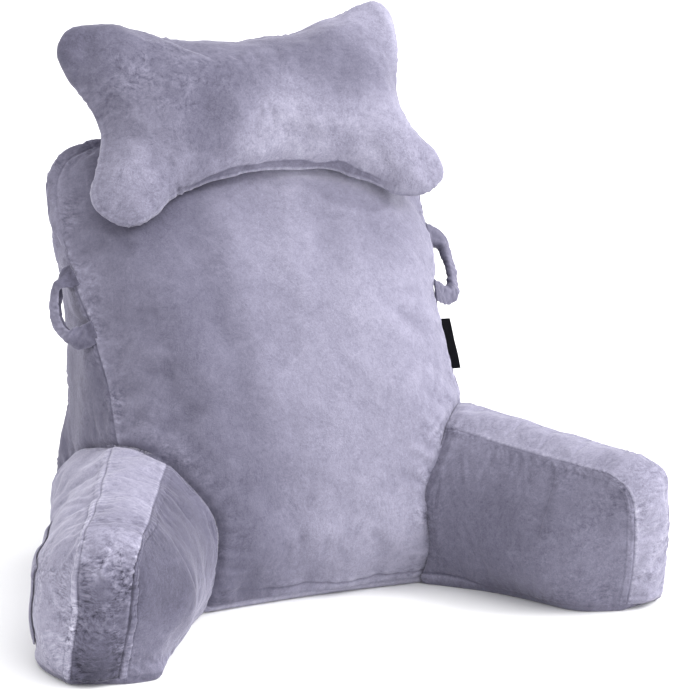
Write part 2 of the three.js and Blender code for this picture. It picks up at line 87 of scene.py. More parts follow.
BACK_FULL, BACK_DIP, BOX_SWELL, SEAM_Z, BASE_TUCK = 4.5, 10.0, 7.0, 9.0, 10.0
ARM_X, ARM_Y, ARM_SPLAY = 205.0, 127.5, math.radians(27.5)
ARM_COLS = ["a", "zI", "zO", "pI", "pO", "bI", "bO", "fI", "fO"]
ARM = [
    [-185, 160, 140, -30, 40, 30, 66, -55, 98],
    [-150, 172, 158, -32, 37, 40, 78, -60, 106],
    [-110, 181, 175, -33, 35, 48, 77, -72, 104],
    [-70, 183, 187, -34, 35, 58, 73, -82, 98],
    [-30, 184, 192, -35, 35, 63, 64, -88, 91],
    [10, 184, 193, -35, 34, 65, 58, -86, 86],
    [50, 184, 193, -36, 32, 62, 55, -74, 82],
    [100, 181, 192, -36, 30, 58, 55, -62, 79],
    [150, 180, 190, -37, 28, 55, 56, -54, 79],
    [200, 181, 190, -39, 26, 53, 57, -51, 80],
    [250, 181, 188, -39, 25, 52, 58, -50, 81],
    [300, 180, 186, -39, 25, 52, 58, -50, 81],
]
EVEN = {"bO": 0, "fO": 0, "bI": 0, "fI": 0, "jO": 0, "jI": -8, "reach": 72}
FULLER = {"bO": 14, "fO": 9, "bI": -3, "fI": 0, "jO": 9, "jI": 6, "reach": 28}
NOSE_COLS = ["w", "aI", "pI", "aO", "pO"]
NOSE = [
    [0.00, 275, -9, 286, 46],
    [0.30, 291, -20, 297, 39],
    [0.58, 298, -27, 303, 33],
    [0.78, 300, -32, 305, 30],
    [0.89, 295, -35, 303, 30],
    [0.96, 284, -38, 292, 28],
    [1.00, 266, -39, 271, 26],
]
ARM_REAR, NOSE_REACH, FOOT_REACH, GUSSET_CROWN = -185.0, 95.0, 72.0, 7.0
SWELL_AT, SHOULDER_AT = {"I": 0.58, "O": 0.47}, {"I": 0.45, "O": 0.37}
BONE_RIGHT = [
    [0, 98], [55, 98], [93, 104], [131, 113], [168, 124], [191, 130], [205, 127], [213, 112], [213, 82], [207, 47], [197, 2],
    [198, -20], [213, -55], [228, -82], [229, -108], [212, -125], [189, -129], [156, -120], [125, -101],
    [81, -84], [38, -77], [0, -74],
]
BONE_LEFT = [
    [0, 98], [-55, 101], [-93, 113], [-132, 127], [-177, 132], [-211, 125], [-226, 104], [-220, 73], [-207, 47], [-198, 2],
    [-199, -20], [-213, -55], [-227, -82], [-226, -106], [-209, -122], [-189, -128], [-156, -120], [-125, -101],
    [-81, -84], [-38, -77], [0, -74],
]
NECK_AT, NECK_LEAN, NECK_SKEW, NECK_THICK, NECK_CORE = np.array([17.0, 330.0, 538.5]), math.radians(35), -0.03, 56.0, (150.0, 52.0)


# ------------------------------------------------------------------ helpers
class Table:
    """Smooth reading of a table's columns: cubic through its rows, held at both ends."""

    def __init__(self, cols, rows):
        self.cols, self.t = cols, np.array(rows, float)
        n = len(self.t)
        lo, hi = np.maximum(np.arange(n) - 1, 0), np.minimum(np.arange(n) + 1, n - 1)
        self.m = (self.t[hi] - self.t[lo]) / (self.t[hi, 0] - self.t[lo, 0])[:, None]

    def __call__(self, x):
        k = self.t[:, 0]
        x = np.clip(np.asarray(x, float), k[0], k[-1])
        i = np.clip(np.searchsorted(k, x, side="right") - 1, 0, len(k) - 2)
        h = (k[i + 1] - k[i])[..., None]
        s = ((x - k[i]) / h[..., 0])[..., None]
        s2, s3 = s * s, s * s * s
        out = (2 * s3 - 3 * s2 + 1) * self.t[i] + (s3 - 2 * s2 + s) * h * self.m[i] + (3 * s2 - 2 * s3) * self.t[i + 1] + (s3 - s2) * h * self.m[i + 1]
        return {c: out[..., j] for j, c in enumerate(self.cols)}


def mix(a, b, t):
    return a + (b - a) * t


def rise(x):
    return np.sin(np.pi / 2 * np.clip(x, 0, 1))


def soft(x):
    c = np.clip(x, 0, 1)
    return c * c * (3 - 2 * c)


def ends_dense(n, a=0.6):
    """n + 1 steps from 0 to 1, closer together at both ends."""
    t = np.linspace(0, 1, n + 1)
    return (1 - a) * t + a * t * t * (3 - 2 * t)


def spaced(n, lo=(0.1, 1.0), hi=(0.1, 1.0)):
    """n + 1 steps from 0 to 1, closer at each end: (share of the length, how many times closer)."""
    x = np.linspace(0, 1, 1201)
    rho = 1 + (lo[1] - 1) * np.exp(-((x / lo[0]) ** 2)) + (hi[1] - 1) * np.exp(-(((1 - x) / hi[0]) ** 2))
    c = np.r_[0, np.cumsum((rho[1:] + rho[:-1]) / 2)]
    return np.interp(np.linspace(0, c[-1], n + 1), c, x)


class Waves:
    """A smooth random field in space, made of plane waves of about one wavelength (mm)."""

    def __init__(self, seed, wavelength, count=26, spread=0.45, squash=(1, 1, 1)):
        r = np.random.RandomState(seed)
        d = r.normal(size=(count, 3))
        d /= np.linalg.norm(d, axis=1)[:, None]
        self.k = d * (2 * np.pi / (wavelength * np.exp(r.uniform(-spread, spread, count))))[:, None] / np.array(squash, float)
        self.p = r.uniform(0, 2 * np.pi, count)
        self.g = math.sqrt(2.0 / count)

    def __call__(self, x):
        out = np.zeros(len(x))
        for k, p in zip(self.k, self.p):
            out += np.cos(x @ k + p)
        return out * self.g


def along_waves(seed, s, lo, hi, count=14):
    """Irregular puckers along a seam: s in mm, wavelengths between lo and hi."""
    r = np.random.RandomState(seed)
    out = np.zeros_like(s)
    for _ in range(count):
        out += np.cos(2 * np.pi * s / r.uniform(lo, hi) + r.uniform(0, 2 * np.pi))
    return out * math.sqrt(2.0 / count)


class Shell:
    """A mesh made of rectangular patches that share their edge points."""

    def __init__(self):
        self.xyz, self.quads, self.n, self.tags = [], [], 0, {}

    def add(self, pts):
        pts = np.asarray(pts, float)
        ids = np.arange(self.n, self.n + pts.size // 3).reshape(pts.shape[:-1])
        self.xyz.append(pts.reshape(-1, 3))
        self.n += pts.size // 3
        return ids

    def patch(self, ids, flip=False, tag=0):
        a, b, c, d = ids[:-1, :-1], ids[1:, :-1], ids[1:, 1:], ids[:-1, 1:]
        q = np.stack([a, d, c, b] if flip else [a, b, c, d], -1).reshape(-1, 4)
        self.quads.append(q)
        self.tags.setdefault(tag, []).append(np.unique(q))

    def done(self):
        v, q = np.concatenate(self.xyz), np.concatenate(self.quads)
        return v, q


def normals(v, q):
    a, b, c, d = (v[q[:, i]] for i in range(4))
    n = np.cross(c - a, d - b)
    out = np.zeros_like(v)
    for i in range(4):
        for k in range(3):
            out[:, k] += np.bincount(q[:, i], weights=n[:, k], minlength=len(v))
    return out / np.maximum(np.linalg.norm(out, axis=1), 1e-12)[:, None]


def volume(v, q):
    a, b, c, d = (v[q[:, i]] for i in range(4))
    return (np.einsum("ij,ij->i", a, np.cross(b, c)) + np.einsum("ij,ij->i", a, np.cross(c, d))).sum() / 6


def outward(v, q):
    return q if volume(v, q) > 0 else q[:, ::-1]


def smooth_field(f, q, n, passes):
    """Averages a per-vertex field over the mesh's edges."""
    e = np.concatenate([q[:, [0, 1]], q[:, [1, 2]], q[:, [2, 3]], q[:, [3, 0]]])
    i, j = np.concatenate([e[:, 0], e[:, 1]]), np.concatenate([e[:, 1], e[:, 0]])
    w = np.bincount(i, minlength=n).astype(float)
    f = f.copy()
    for _ in range(passes):
        if f.ndim == 1:
            f = 0.5 * f + 0.5 * np.bincount(i, weights=f[j], minlength=n) / np.maximum(w, 1)
        else:
            for k in range(f.shape[1]):
                f[:, k] = 0.5 * f[:, k] + 0.5 * np.bincount(i, weights=f[j, k], minlength=n) / np.maximum(w, 1)
    return f


def polyline(pts, step=1.2, closed=False):
    """Resamples a line of points evenly; returns the points and their distance along it."""
    pts = np.asarray(pts, float)
    if closed:
        pts = np.vstack([pts, pts[:1]])
    d = np.r_[0, np.cumsum(np.linalg.norm(np.diff(pts, axis=0), axis=1))]
    keep = np.r_[True, np.diff(d) > 1e-9]
    pts, d = pts[keep], d[keep]
    n = max(2, int(d[-1] / step))
    s = np.linspace(0, d[-1], n + (0 if closed else 1), endpoint=not closed)
    return np.stack([np.interp(s, d, pts[:, k]) for k in range(3)], 1), s


def near_line(v, line):
    """Distance of each vertex from a resampled line, and how far along the line its nearest point is."""
    pts, s = line
    tree = KDTree(len(pts))
    for i, p in enumerate(pts):
        tree.insert(p, i)
    tree.balance()
    lo, hi = pts.min(0) - 45, pts.max(0) + 45
    dist, at = np.full(len(v), 1e3), np.zeros(len(v))
    for i in np.nonzero(((v > lo) & (v < hi)).all(1))[0]:
        _, j, d = tree.find(v[i])
        dist[i], at[i] = d, s[j]
    return dist, at


def stroke(v, nrm, pts, width, depth, ends=0.35, sharp=1.0):
    """One soft fold: a raised (or sunk) ridge along a line of points that fades out at both ends. mm."""
    line, s = polyline(pts, 3.0)
    lo, hi = line.min(0) - 3 * width, line.max(0) + 3 * width
    idx = np.nonzero(((v > lo) & (v < hi)).all(1))[0]
    if len(idx) == 0:
        return np.zeros(len(v))
    d2 = ((v[idx, None, :] - line[None]) ** 2).sum(2)
    j = d2.argmin(1)
    d = np.sqrt(d2[np.arange(len(idx)), j])
    t = s[j] / s[-1]
    fade = soft(t / ends) * soft((1 - t) / ends)
    out = np.zeros(len(v))
    x = d / width
    out[idx] = depth * fade * (np.exp(-x * x) - 0.35 * np.exp(-((x - 1.9) ** 2) * 1.6)) * sharp
    return out


def to_object(name, v, q, attrs=None, smooth=True):
    me = bpy.data.meshes.new(name)
    me.from_pydata(((v + SHIFT) * MM).tolist(), [], [f[:3] if f[2] == f[-1] else f for f in q.tolist()])
    me.validate()
    if smooth:
        me.shade_smooth()
    for key, val in (attrs or {}).items():
        val = np.asarray(val, float)
        if val.ndim == 1:
            a = me.attributes.new(key, "FLOAT", "POINT")
            a.data.foreach_set("value", val)
        else:
            a = me.attributes.new(key, "FLOAT_VECTOR", "POINT")
            a.data.foreach_set("vector", val.ravel())
    ob = bpy.data.objects.new(name, me)
    scene.collection.objects.link(ob)
    return ob


# ------------------------------------------------------------------ backrest
back_at = Table(BACK_COLS, BACK)


def back_front(s, v, grow=0.0):
    r = back_at(v)
    f = 1 - np.abs(s) ** BACK_FULL
    x = s * r["xF"]
    dip = BACK_DIP * np.maximum(0, 1 - (x / 150) ** 2) * np.maximum(0, 1 - v / 0.1) ** 1.5
    return np.stack([x * (1 + grow / 230) + r["dx"], mix(r["yF"], r["yC"], f) + dip - grow, mix(r["zF"], r["zC"], f) + grow * v], -1)


def back_rear(s, v, grow=0.0):
    r = back_at(v)
    f = 1 - np.abs(s) ** 3
    return np.stack([s * r["xR"] * (1 + grow / 230) + r["dx"], mix(r["yR"], r["yB"], f) + grow, r["zR"] + grow * v], -1)


def build_backrest(ns, nv, nt):
    t = np.linspace(-1, 1, ns + 1)
    S = 0.4 * t + 0.6 * (1.5 * t - 0.5 * t ** 3)
    V = ends_dense(nv, 0.6)
    T = ends_dense(nt, 0.7)
    sh = Shell()
    ss, vv = np.meshgrid(S, V)
    F, R = sh.add(back_front(ss, vv)), sh.add(back_rear(ss, vv))
    ring = [(-1.0, v, F[i, 0], R[i, 0]) for i, v in enumerate(V)]
    ring += [(s, 1.0, F[-1, j], R[-1, j]) for j, s in enumerate(S) if 0 < j < ns]
    ring += [(1.0, V[i], F[i, -1], R[i, -1]) for i in range(nv, -1, -1)]
    rs, rv = np.array([r[0] for r in ring]), np.array([r[1] for r in ring])
    a, b = back_front(rs, rv), back_rear(rs, rv)
    d = np.zeros_like(a)
    d[1:-1], d[0], d[-1] = a[2:] - a[:-2], a[1] - a[0], a[-1] - a[-2]
    nx, nz = -d[:, 2], d[:, 0]
    l = np.hypot(nx, nz)
    nx, nz = nx / l, nz / l
    nx[0], nz[0], nx[-1], nz[-1] = -1, 0, 1, 0
    n0 = np.stack([nx, nz], 1)
    for _ in range(3):                       # round the strip's turn at the top corners
        n0[1:-1] = (n0[:-2] + 2 * n0[1:-1] + n0[2:]) / 4
    n0 /= np.linalg.norm(n0, axis=1)[:, None]
    tt = T[1:-1]
    swell = BOX_SWELL * 4 * tt * (1 - tt)
    mid = a[:, None] + (b - a)[:, None] * tt[None, :, None]
    mid[..., 0] += n0[:, 0:1] * swell
    mid[..., 2] += n0[:, 1:2] * swell
    M = sh.add(mid)
    strip = np.concatenate([np.array([r[2] for r in ring])[:, None], M, np.array([r[3] for r in ring])[:, None]], 1)
    # base: flat on the floor, its seam a little above it
    fr, re = back_front(S[1:-1], np.zeros(ns - 1)), back_rear(S[1:-1], np.zeros(ns - 1))
    g = fr[:, None] + (re - fr)[:, None] * tt[None, :, None]
    side = (1 - np.abs(S[1:-1]))[:, None] * 219
    depth = np.minimum(tt, 1 - tt)[None, :] * (re[:, 1] - fr[:, 1])[:, None]
    near = np.minimum(side, depth)
    g[..., 2] = SEAM_Z * (1 - rise(near / BASE_TUCK))
    G = sh.add(g)
    base = np.concatenate([F[0:1, 1:-1].T, G, R[0:1, 1:-1].T], 1)
    base = np.concatenate([strip[0][None], base, strip[-1][None]], 0)
    sh.patch(F, True, "front")
    sh.patch(R, False, "rear")
    sh.patch(strip, False, "strip")
    sh.patch(base, True, "base")
    v, q = sh.done()
    seams = {
        "front": polyline(np.concatenate([v[F[:, 0]], v[F[-1, 1:]], v[F[-2::-1, -1]]])),
        "rear": polyline(np.concatenate([v[R[:, 0]], v[R[-1, 1:]], v[R[-2::-1, -1]]])),
        "base": polyline(np.concatenate([v[F[0]], v[strip[-1]], v[R[0, ::-1]], v[strip[0][::-1]]])),
    }
    return sh, v, outward(v, q), seams, F


# ------------------------------------------------------------------ armrests
arm_at, nose_at = Table(ARM_COLS, ARM), Table(NOSE_COLS, NOSE)
AX = np.array([math.sin(ARM_SPLAY), -math.cos(ARM_SPLAY)])
SD = np.array([math.cos(ARM_SPLAY), math.sin(ARM_SPLAY)])


def to_plan(p, mirror):
    x = ARM_X + AX[0] * p[..., 0] + SD[0] * p[..., 1]
    y = ARM_Y + AX[1] * p[..., 0] + SD[1] * p[..., 1]
    return np.stack([-x if mirror else x, y, p[..., 2]], -1)


def arm_panel(side, u, w, more):
    u, w = np.broadcast_arrays(np.asarray(u, float), np.asarray(w, float))
    nose = nose_at(w)
    end_a = nose["a" + side]
    a = mix(ARM_REAR, end_a, u)
    r = arm_at(a)
    sg = -1 if side == "I" else 1
    z = mix(SEAM_Z, r["z" + side], w)
    p0 = mix(r["p" + side], nose["p" + side], soft(1 - (end_a - a) / NOSE_REACH))
    end = rise((end_a - a) / NOSE_REACH)
    extra = soft(a / 120)
    root = soft((a + 150) / 70) * (1 - soft((a - 10) / 110))
    swell = r["b" + side] + extra * more["b" + side] + (root * more["jO"] if side == "O" else 0)
    reach = r["f" + side] + sg * (BASE_TUCK * 0.8 + extra * more["f" + side]) + (root * more["jI"] if side == "I" else 0)
    full = p0 + sg * swell * end
    foot = mix(p0, reach, rise((end_a - a) / (FOOT_REACH if side == "O" else more["reach"])))
    depth, at = 1 - w, mix(SHOULDER_AT[side], SWELL_AT[side], soft((a + 20) / 130))
    low = np.clip((depth - at) / (1 - at), 0, 1)
    p = np.where(depth < at, mix(p0, full, rise(depth / at)), mix(full, foot, low ** 1.9))
    return np.stack([a, p, z], -1)


def build_arm(mirror, more, bvh, nu, nw, nt, gap=0.5):
    """Skin of one arm, from the backrest's surface to the front end."""
    W, T, Q = spaced(nw, (0.05, 2.2), (0.10, 2.6)), spaced(nt, (0.08, 2.0), (0.08, 2.0)), spaced(nu, (0.16, 1.7), (0.05, 2.8))

    def signed(p):
        loc, n, _, _ = bvh.find_nearest(Vector(p))
        return (Vector(p) - loc).dot(n)

    def start(line):
        """Where a line along the arm leaves the backrest."""
        us = np.linspace(0.0, 0.97, 50)
        pts = line(us)
        hi = None
        for k in range(len(us) - 1, -1, -1):
            if signed(pts[k]) < gap:
                hi = k
                break
        if hi is None:
            return 0.0
        if hi == len(us) - 1:
            return us[-1]
        a, b = us[hi], us[hi + 1]
        for _ in range(9):
            m = (a + b) / 2
            if signed(line(np.array([m]))[0]) < gap:
                a = m
            else:
                b = m
        return b

    def lines(side, ws):
        return [lambda u, w=w: to_plan(arm_panel(side, u, w, more), mirror) for w in ws]

    def ribbon(t, w, nrm):
        """A line along the arm on the gusset (w=1) or base (w=0), a share t of the way from the inner side."""
        def f(u):
            i, o = arm_panel("I", u, w, more), arm_panel("O", u, w, more)
            p = i + (o - i) * t
            if w == 1:
                e = 1e-3
                j = arm_panel("I", np.clip(u + e, 0, 1), w, more)
                k = arm_panel("I", np.clip(u - e, 0, 1), w, more)
                da, dz = j[..., 0] - k[..., 0], j[..., 2] - k[..., 2]
                l = np.maximum(np.hypot(da, dz), 1e-9)
                crown = GUSSET_CROWN * 4 * t * (1 - t)
                p = p.copy()
                p[..., 0] -= dz / l * crown
                p[..., 2] += da / l * crown
            return to_plan(p, mirror)
        return f

    inner, outer = lines("I", W), lines("O", W)
    top = [inner[-1]] + [ribbon(t, 1, None) for t in T[1:-1]] + [outer[-1]]
    bot = [inner[0]] + [ribbon(t, 0, None) for t in T[1:-1]] + [outer[0]]
    # start of every line, smoothed round the joint
    loop = inner + top[1:-1] + outer[::-1] + bot[1:-1][::-1]
    u0 = np.array([start(f) for f in loop])
    uI, uT, uO = u0[: nw + 1], u0[nw: nw + nt + 1], u0[nw + nt: 2 * nw + nt + 1][::-1]
    uB = np.r_[uI[0], u0[2 * nw + nt + 1:][::-1], uO[0]]

    def sweep(fs, us):
        return np.stack([f(mix(u, 1.0, Q)) for f, u in zip(fs, us)])        # line, along, xyz

    sh = Shell()
    I, O = sh.add(sweep(inner, uI)), sh.add(sweep(outer, uO))
    # gusset on top
    Gt = sweep(top, uT)
    tmid = sh.add(Gt[1:-1])
    topid = np.concatenate([I[-1:], tmid, O[-1:]], 0)
    # gusset up the nose, between the two panels' front edges
    pi, po = arm_panel("I", 1.0, W, more), arm_panel("O", 1.0, W, more)
    d = np.gradient(pi, axis=0)
    l = np.maximum(np.hypot(d[:, 0], d[:, 2]), 1e-9)
    na, nz = d[:, 2] / l, -d[:, 0] / l
    na[0], nz[0] = 1, 0
    tt = T[1:-1]
    crown = GUSSET_CROWN * 4 * tt * (1 - tt)
    g = pi[:, None] + (po - pi)[:, None] * tt[None, :, None]
    g[..., 0] += na[:, None] * crown
    g[..., 2] += nz[:, None] * crown
    # meet the base edge and the top strip exactly
    noseid = np.full((nw + 1, nt + 1), -1)
    noseid[:, 0], noseid[:, -1] = I[:, -1], O[:, -1]
    noseid[-1, 1:-1] = topid[1:-1, -1]
    inner_nose = sh.add(to_plan(g[:-1], mirror))
    noseid[:-1, 1:-1] = inner_nose
    # base
    b = np.stack([f(mix(u, 1.0, Q)) for f, u in zip(bot[1:-1], uB[1:-1])])
    L = np.linalg.norm(np.diff(b, axis=1), axis=2).sum(1)[:, None] * (1 - Q)[None]
    wide = np.linalg.norm(sweep(outer[:1], uO[:1])[0] - sweep(inner[:1], uI[:1])[0], axis=1)[None]
    near = np.minimum(np.minimum(T[1:-1], 1 - T[1:-1])[:, None] * wide, L)
    b[..., 2] = SEAM_Z * (1 - rise(near / 9.0))
    b[:, -1] = sh.xyz[3].reshape(nw, nt - 1, 3)[0]
    B = sh.add(b[:, :-1])
    baseid = np.concatenate([I[0:1], np.concatenate([B, noseid[0:1, 1:-1].T], 1), O[0:1]], 0)
    # rear end, lying against the backrest
    c = np.stack([sh.xyz[0].reshape(nw + 1, nu + 1, 3)[:, 0], sh.xyz[1].reshape(nw + 1, nu + 1, 3)[:, 0]])
    ray = np.array([-AX[0] if mirror else AX[0], AX[1], 0.0])
    cap = c[0][1:-1, None] + (c[1] - c[0])[1:-1, None] * tt[None, :, None]
    for i in range(cap.shape[0]):
        for j in range(cap.shape[1]):
            hit, _, _, _ = bvh.ray_cast(Vector(cap[i, j] + ray * 400), Vector(-ray))
            if hit is not None:
                cap[i, j] = np.array(hit) + ray * gap
    C = sh.add(cap)
    capid = np.full((nw + 1, nt + 1), -1)
    capid[:, 0], capid[:, -1] = I[:, 0], O[:, 0]
    capid[-1, 1:-1], capid[0, 1:-1], capid[1:-1, 1:-1] = topid[1:-1, 0], baseid[1:-1, 0], C
    m = mirror
    sh.patch(I, not m, "inner")
    sh.patch(O, m, "outer")
    sh.patch(topid, not m, "gusset")
    sh.patch(noseid, not m, "nose")
    sh.patch(baseid, m, "base")
    sh.patch(capid, m, "rear")
    v, q = sh.done()
    seams = {
        "I": polyline(np.concatenate([v[I[-1]], v[I[-2::-1, -1]]])),
        "O": polyline(np.concatenate([v[O[-1]], v[O[-2::-1, -1]]])),
        "base": polyline(np.concatenate([v[I[0]], v[noseid[0, 1:-1]], v[O[0, ::-1]]])),
        "joint": polyline(np.concatenate([v[I[:, 0]], v[topid[1:-1, 0]], v[O[::-1, 0]]])),
    }
    return sh, v, q, seams, dict(I=I, O=O, top=topid, nose=noseid, base=baseid, cap=capid)


def check_winding(name, v, q):
    e = np.concatenate([q[:, [0, 1]], q[:, [1, 2]], q[:, [2, 3]], q[:, [3, 0]]])
    e = e[e[:, 0] != e[:, 1]]
    key = e[:, 0].astype(np.int64) * (len(v) + 1) + e[:, 1]
    rev = e[:, 1].astype(np.int64) * (len(v) + 1) + e[:, 0]
    bad = len(key) - len(np.intersect1d(key, rev)) + len(key) - len(np.unique(key))
    print(f"CHECK {name}: {len(v)} points, {len(q)} quads, volume {volume(v, q) / 1e6:.2f} L, loose or doubled edges {bad}")


# ------------------------------------------------------------------ neck pillow
def neck_outline(n):
    pts = np.vstack([np.array(BONE_RIGHT, float), np.array(BONE_LEFT, float)[1:-1][::-1]])
    m = len(pts)
    d = np.linalg.norm(np.roll(pts, -1, 0) - pts, axis=1) ** 0.5      # centripetal spacing
    out = []
    for i in range(m):
        p0, p1, p2, p3 = pts[i - 1], pts[i], pts[(i + 1) % m], pts[(i + 2) % m]
        t0, t1, t2 = d[i - 1], d[i], d[(i + 1) % m]
        m1 = ((p1 - p0) / t0 - (p2 - p0) / (t0 + t1) + (p2 - p1) / t1) * t1
        m2 = ((p2 - p1) / t1 - (p3 - p1) / (t1 + t2) + (p3 - p2) / t2) * t1
        for s in np.linspace(0, 1, 24, endpoint=False):
            out.append((2 * s ** 3 - 3 * s * s + 1) * p1 + (s ** 3 - 2 * s * s + s) * m1 + (3 * s * s - 2 * s ** 3) * p2 + (s ** 3 - s * s) * m2)
    out = np.c_[np.array(out), np.zeros(len(out))]
    line, _ = polyline(out, 0.5, closed=True)
    k = np.linspace(0, len(line), n, endpoint=False).astype(int)
    return line[k][:, :2]


def membrane(outline, cell=3.0):
    """Height of a relaxed membrane over the outline, on a square net."""
    nx, nt = int(2 * 252 / cell), int(2 * 156 / cell)
    gx, gt = np.meshgrid((np.arange(nx) - nx / 2) * cell, (np.arange(nt) - nt / 2) * cell)
    inside = np.zeros(gx.shape, bool)
    o = outline[:: max(1, len(outline) // 260)]
    for p, q in zip(o, np.roll(o, -1, 0)):
        cross = (p[1] > gt) != (q[1] > gt)
        with np.errstate(divide="ignore", invalid="ignore"):
            x = p[0] + (gt - p[1]) / (q[1] - p[1]) * (q[0] - p[0])
        inside ^= cross & (gx < x)
    net = np.zeros(gx.shape)
    checker = (np.add.outer(np.arange(nt), np.arange(nx)) % 2).astype(bool)
    w = 1.93
    for _ in range(260):
        for half in (checker, ~checker):
            s = np.zeros_like(net)
            s[1:-1, 1:-1] = (net[1:-1, :-2] + net[1:-1, 2:] + net[:-2, 1:-1] + net[2:, 1:-1] + 1) / 4
            k = half & inside
            net[k] += w * (s[k] - net[k])

    def lift(x, t):
        u, v = x / cell + nx / 2, t / cell + nt / 2
        i, j = np.clip(u.astype(int), 0, nx - 2), np.clip(v.astype(int), 0, nt - 2)
        fu, fv = u - i, v - j
        return mix(mix(net[j, i], net[j, i + 1], fu), mix(net[j + 1, i], net[j + 1, i + 1], fu), fv)
    return lift


def build_neck(steps, rings):
    o = neck_outline(steps)
    lift = membrane(neck_outline(1040))
    tallest = float(lift(np.zeros(1), np.zeros(1))[0])
    up = np.array([0, math.sin(NECK_LEAN), math.cos(NECK_LEAN)])
    face = np.array([0, -math.cos(NECK_LEAN), math.sin(NECK_LEAN)])
    r = np.linspace(0, 1, rings + 1)
    R = np.where(r < 1, 1 - (1 - r) ** 1.35, 1.0)
    ang = np.arctan2(o[:, 1] / NECK_CORE[1], o[:, 0] / NECK_CORE[0])
    k = (R ** 1.2)[:, None]
    px = R[:, None] * mix(NECK_CORE[0] * np.cos(ang)[None], o[None, :, 0], k)
    pt = R[:, None] * mix(NECK_CORE[1] * np.sin(ang)[None], o[None, :, 1], k)
    h = np.maximum(lift(px, pt), 0)
    # close to the seam the net is too coarse: fall to zero evenly from 9 mm inside it
    gap = np.sqrt((px - o[None, :, 0]) ** 2 + (pt - o[None, :, 1]) ** 2)
    for i in range(steps):
        j = np.searchsorted(-gap[:, i], -9.0)
        j = min(max(j - 1, 0), rings - 1)
        h[j:, i] = h[j, i] * gap[j:, i] / max(gap[j, i], 1e-6)
    for _ in range(2):
        h = (np.roll(h, 1, 1) + 2 * h + np.roll(h, -1, 1)) / 4
    h = NECK_THICK * (h / tallest) ** 0.6
    h[0] = h[0].mean()
    h[-1] = 0

    def put(x, t, hh):
        return NECK_AT + np.stack([x + NECK_SKEW * t, 0 * x, 0 * x], -1) + t[..., None] * up + hh[..., None] * face

    sh = Shell()
    rim = sh.add(put(px[-1], pt[-1], h[-1]))
    ids = []
    for sg in (1, -1):
        mid = sh.add(put(px[:1, 0], pt[:1, 0], sg * h[:1, 0]))
        body = sh.add(put(px[1:-1], pt[1:-1], sg * h[1:-1]))
        g = np.concatenate([np.repeat(mid[None], steps, 1).reshape(1, -1), body, rim[None]], 0)
        g = np.concatenate([g, g[:, :1]], 1)
        ids.append(g)
    v = np.concatenate(sh.xyz)
    tris, quads = [], []
    for g, flip in zip(ids, (True, False)):
        a, b, c = g[0, :-1], g[1, :-1], g[1, 1:]
        tris.append(np.stack([a, c, b] if flip else [a, b, c], -1))
        a, b, c, d = g[1:-1, :-1], g[2:, :-1], g[2:, 1:], g[1:-1, 1:]
        quads.append(np.stack([a, d, c, b] if flip else [a, b, c, d], -1).reshape(-1, 4))
    q = np.concatenate([np.c_[np.concatenate(tris), np.concatenate(tris)[:, 2]], np.concatenate(quads)])
    flat = np.zeros((len(v), 2))
    for g in ids:
        flat[g[:, :-1]] = np.stack([px, pt], -1)
    return v, q, polyline(v[rim], closed=True), ids, flat, face


# ------------------------------------------------------------------ strap handles
STRAP_COLS = ["i", "q", "w", "fold"]
STRAP = [              # path out of and along the side seam, and how far the strap is folded over on itself
    [0, -6, 2, 0.00],
    [1, 12, 2, 0.03],
    [2, 28, 7, 0.35],
    [3, 38, 19, 0.92],
    [4, 41, 35, 1.00],
    [5, 37, 52, 0.97],
    [6, 28, 67, 0.80],
    [7, 11, 77, 0.25],
    [8, -6, 79, 0.00],
]
STRAP_LOW = {"left": np.array([225.0, 235.0, 310.0]), "right": np.array([229.0, 237.0, 311.0])}
STRAP_OUT = {"left": 0.87, "right": 1.0}          # how far each loop stands out, as a share of the table's q
STRAP_OPEN = {"left": 1.0, "right": -1.0}           # which way the folded strap opens: 1 towards the hand gap
# tone from the lower end to the upper end, darker at both ends
STRAP_TONE = {"left": ([0, 0.18, 0.35, 0.7, 0.88, 1], [0.62, 0.74, 1.05, 1.05, 0.60, 0.50]), "right": ([0, 0.15, 0.3, 0.7, 0.85, 1], [0.50, 0.68, 0.86, 0.86, 0.68, 0.56])}
STRAP_RISE, STRAP_SWING = np.array([9.0, 49.0, 61.0]), math.radians(40)
STRAP_WIDE, STRAP_THICK = 29.0, 3.0


def rotate(v, axis, ang):
    axis = axis / np.linalg.norm(axis)
    return v * math.cos(ang) + np.cross(axis, v) * math.sin(ang) + axis * np.dot(axis, v) * (1 - math.cos(ang))


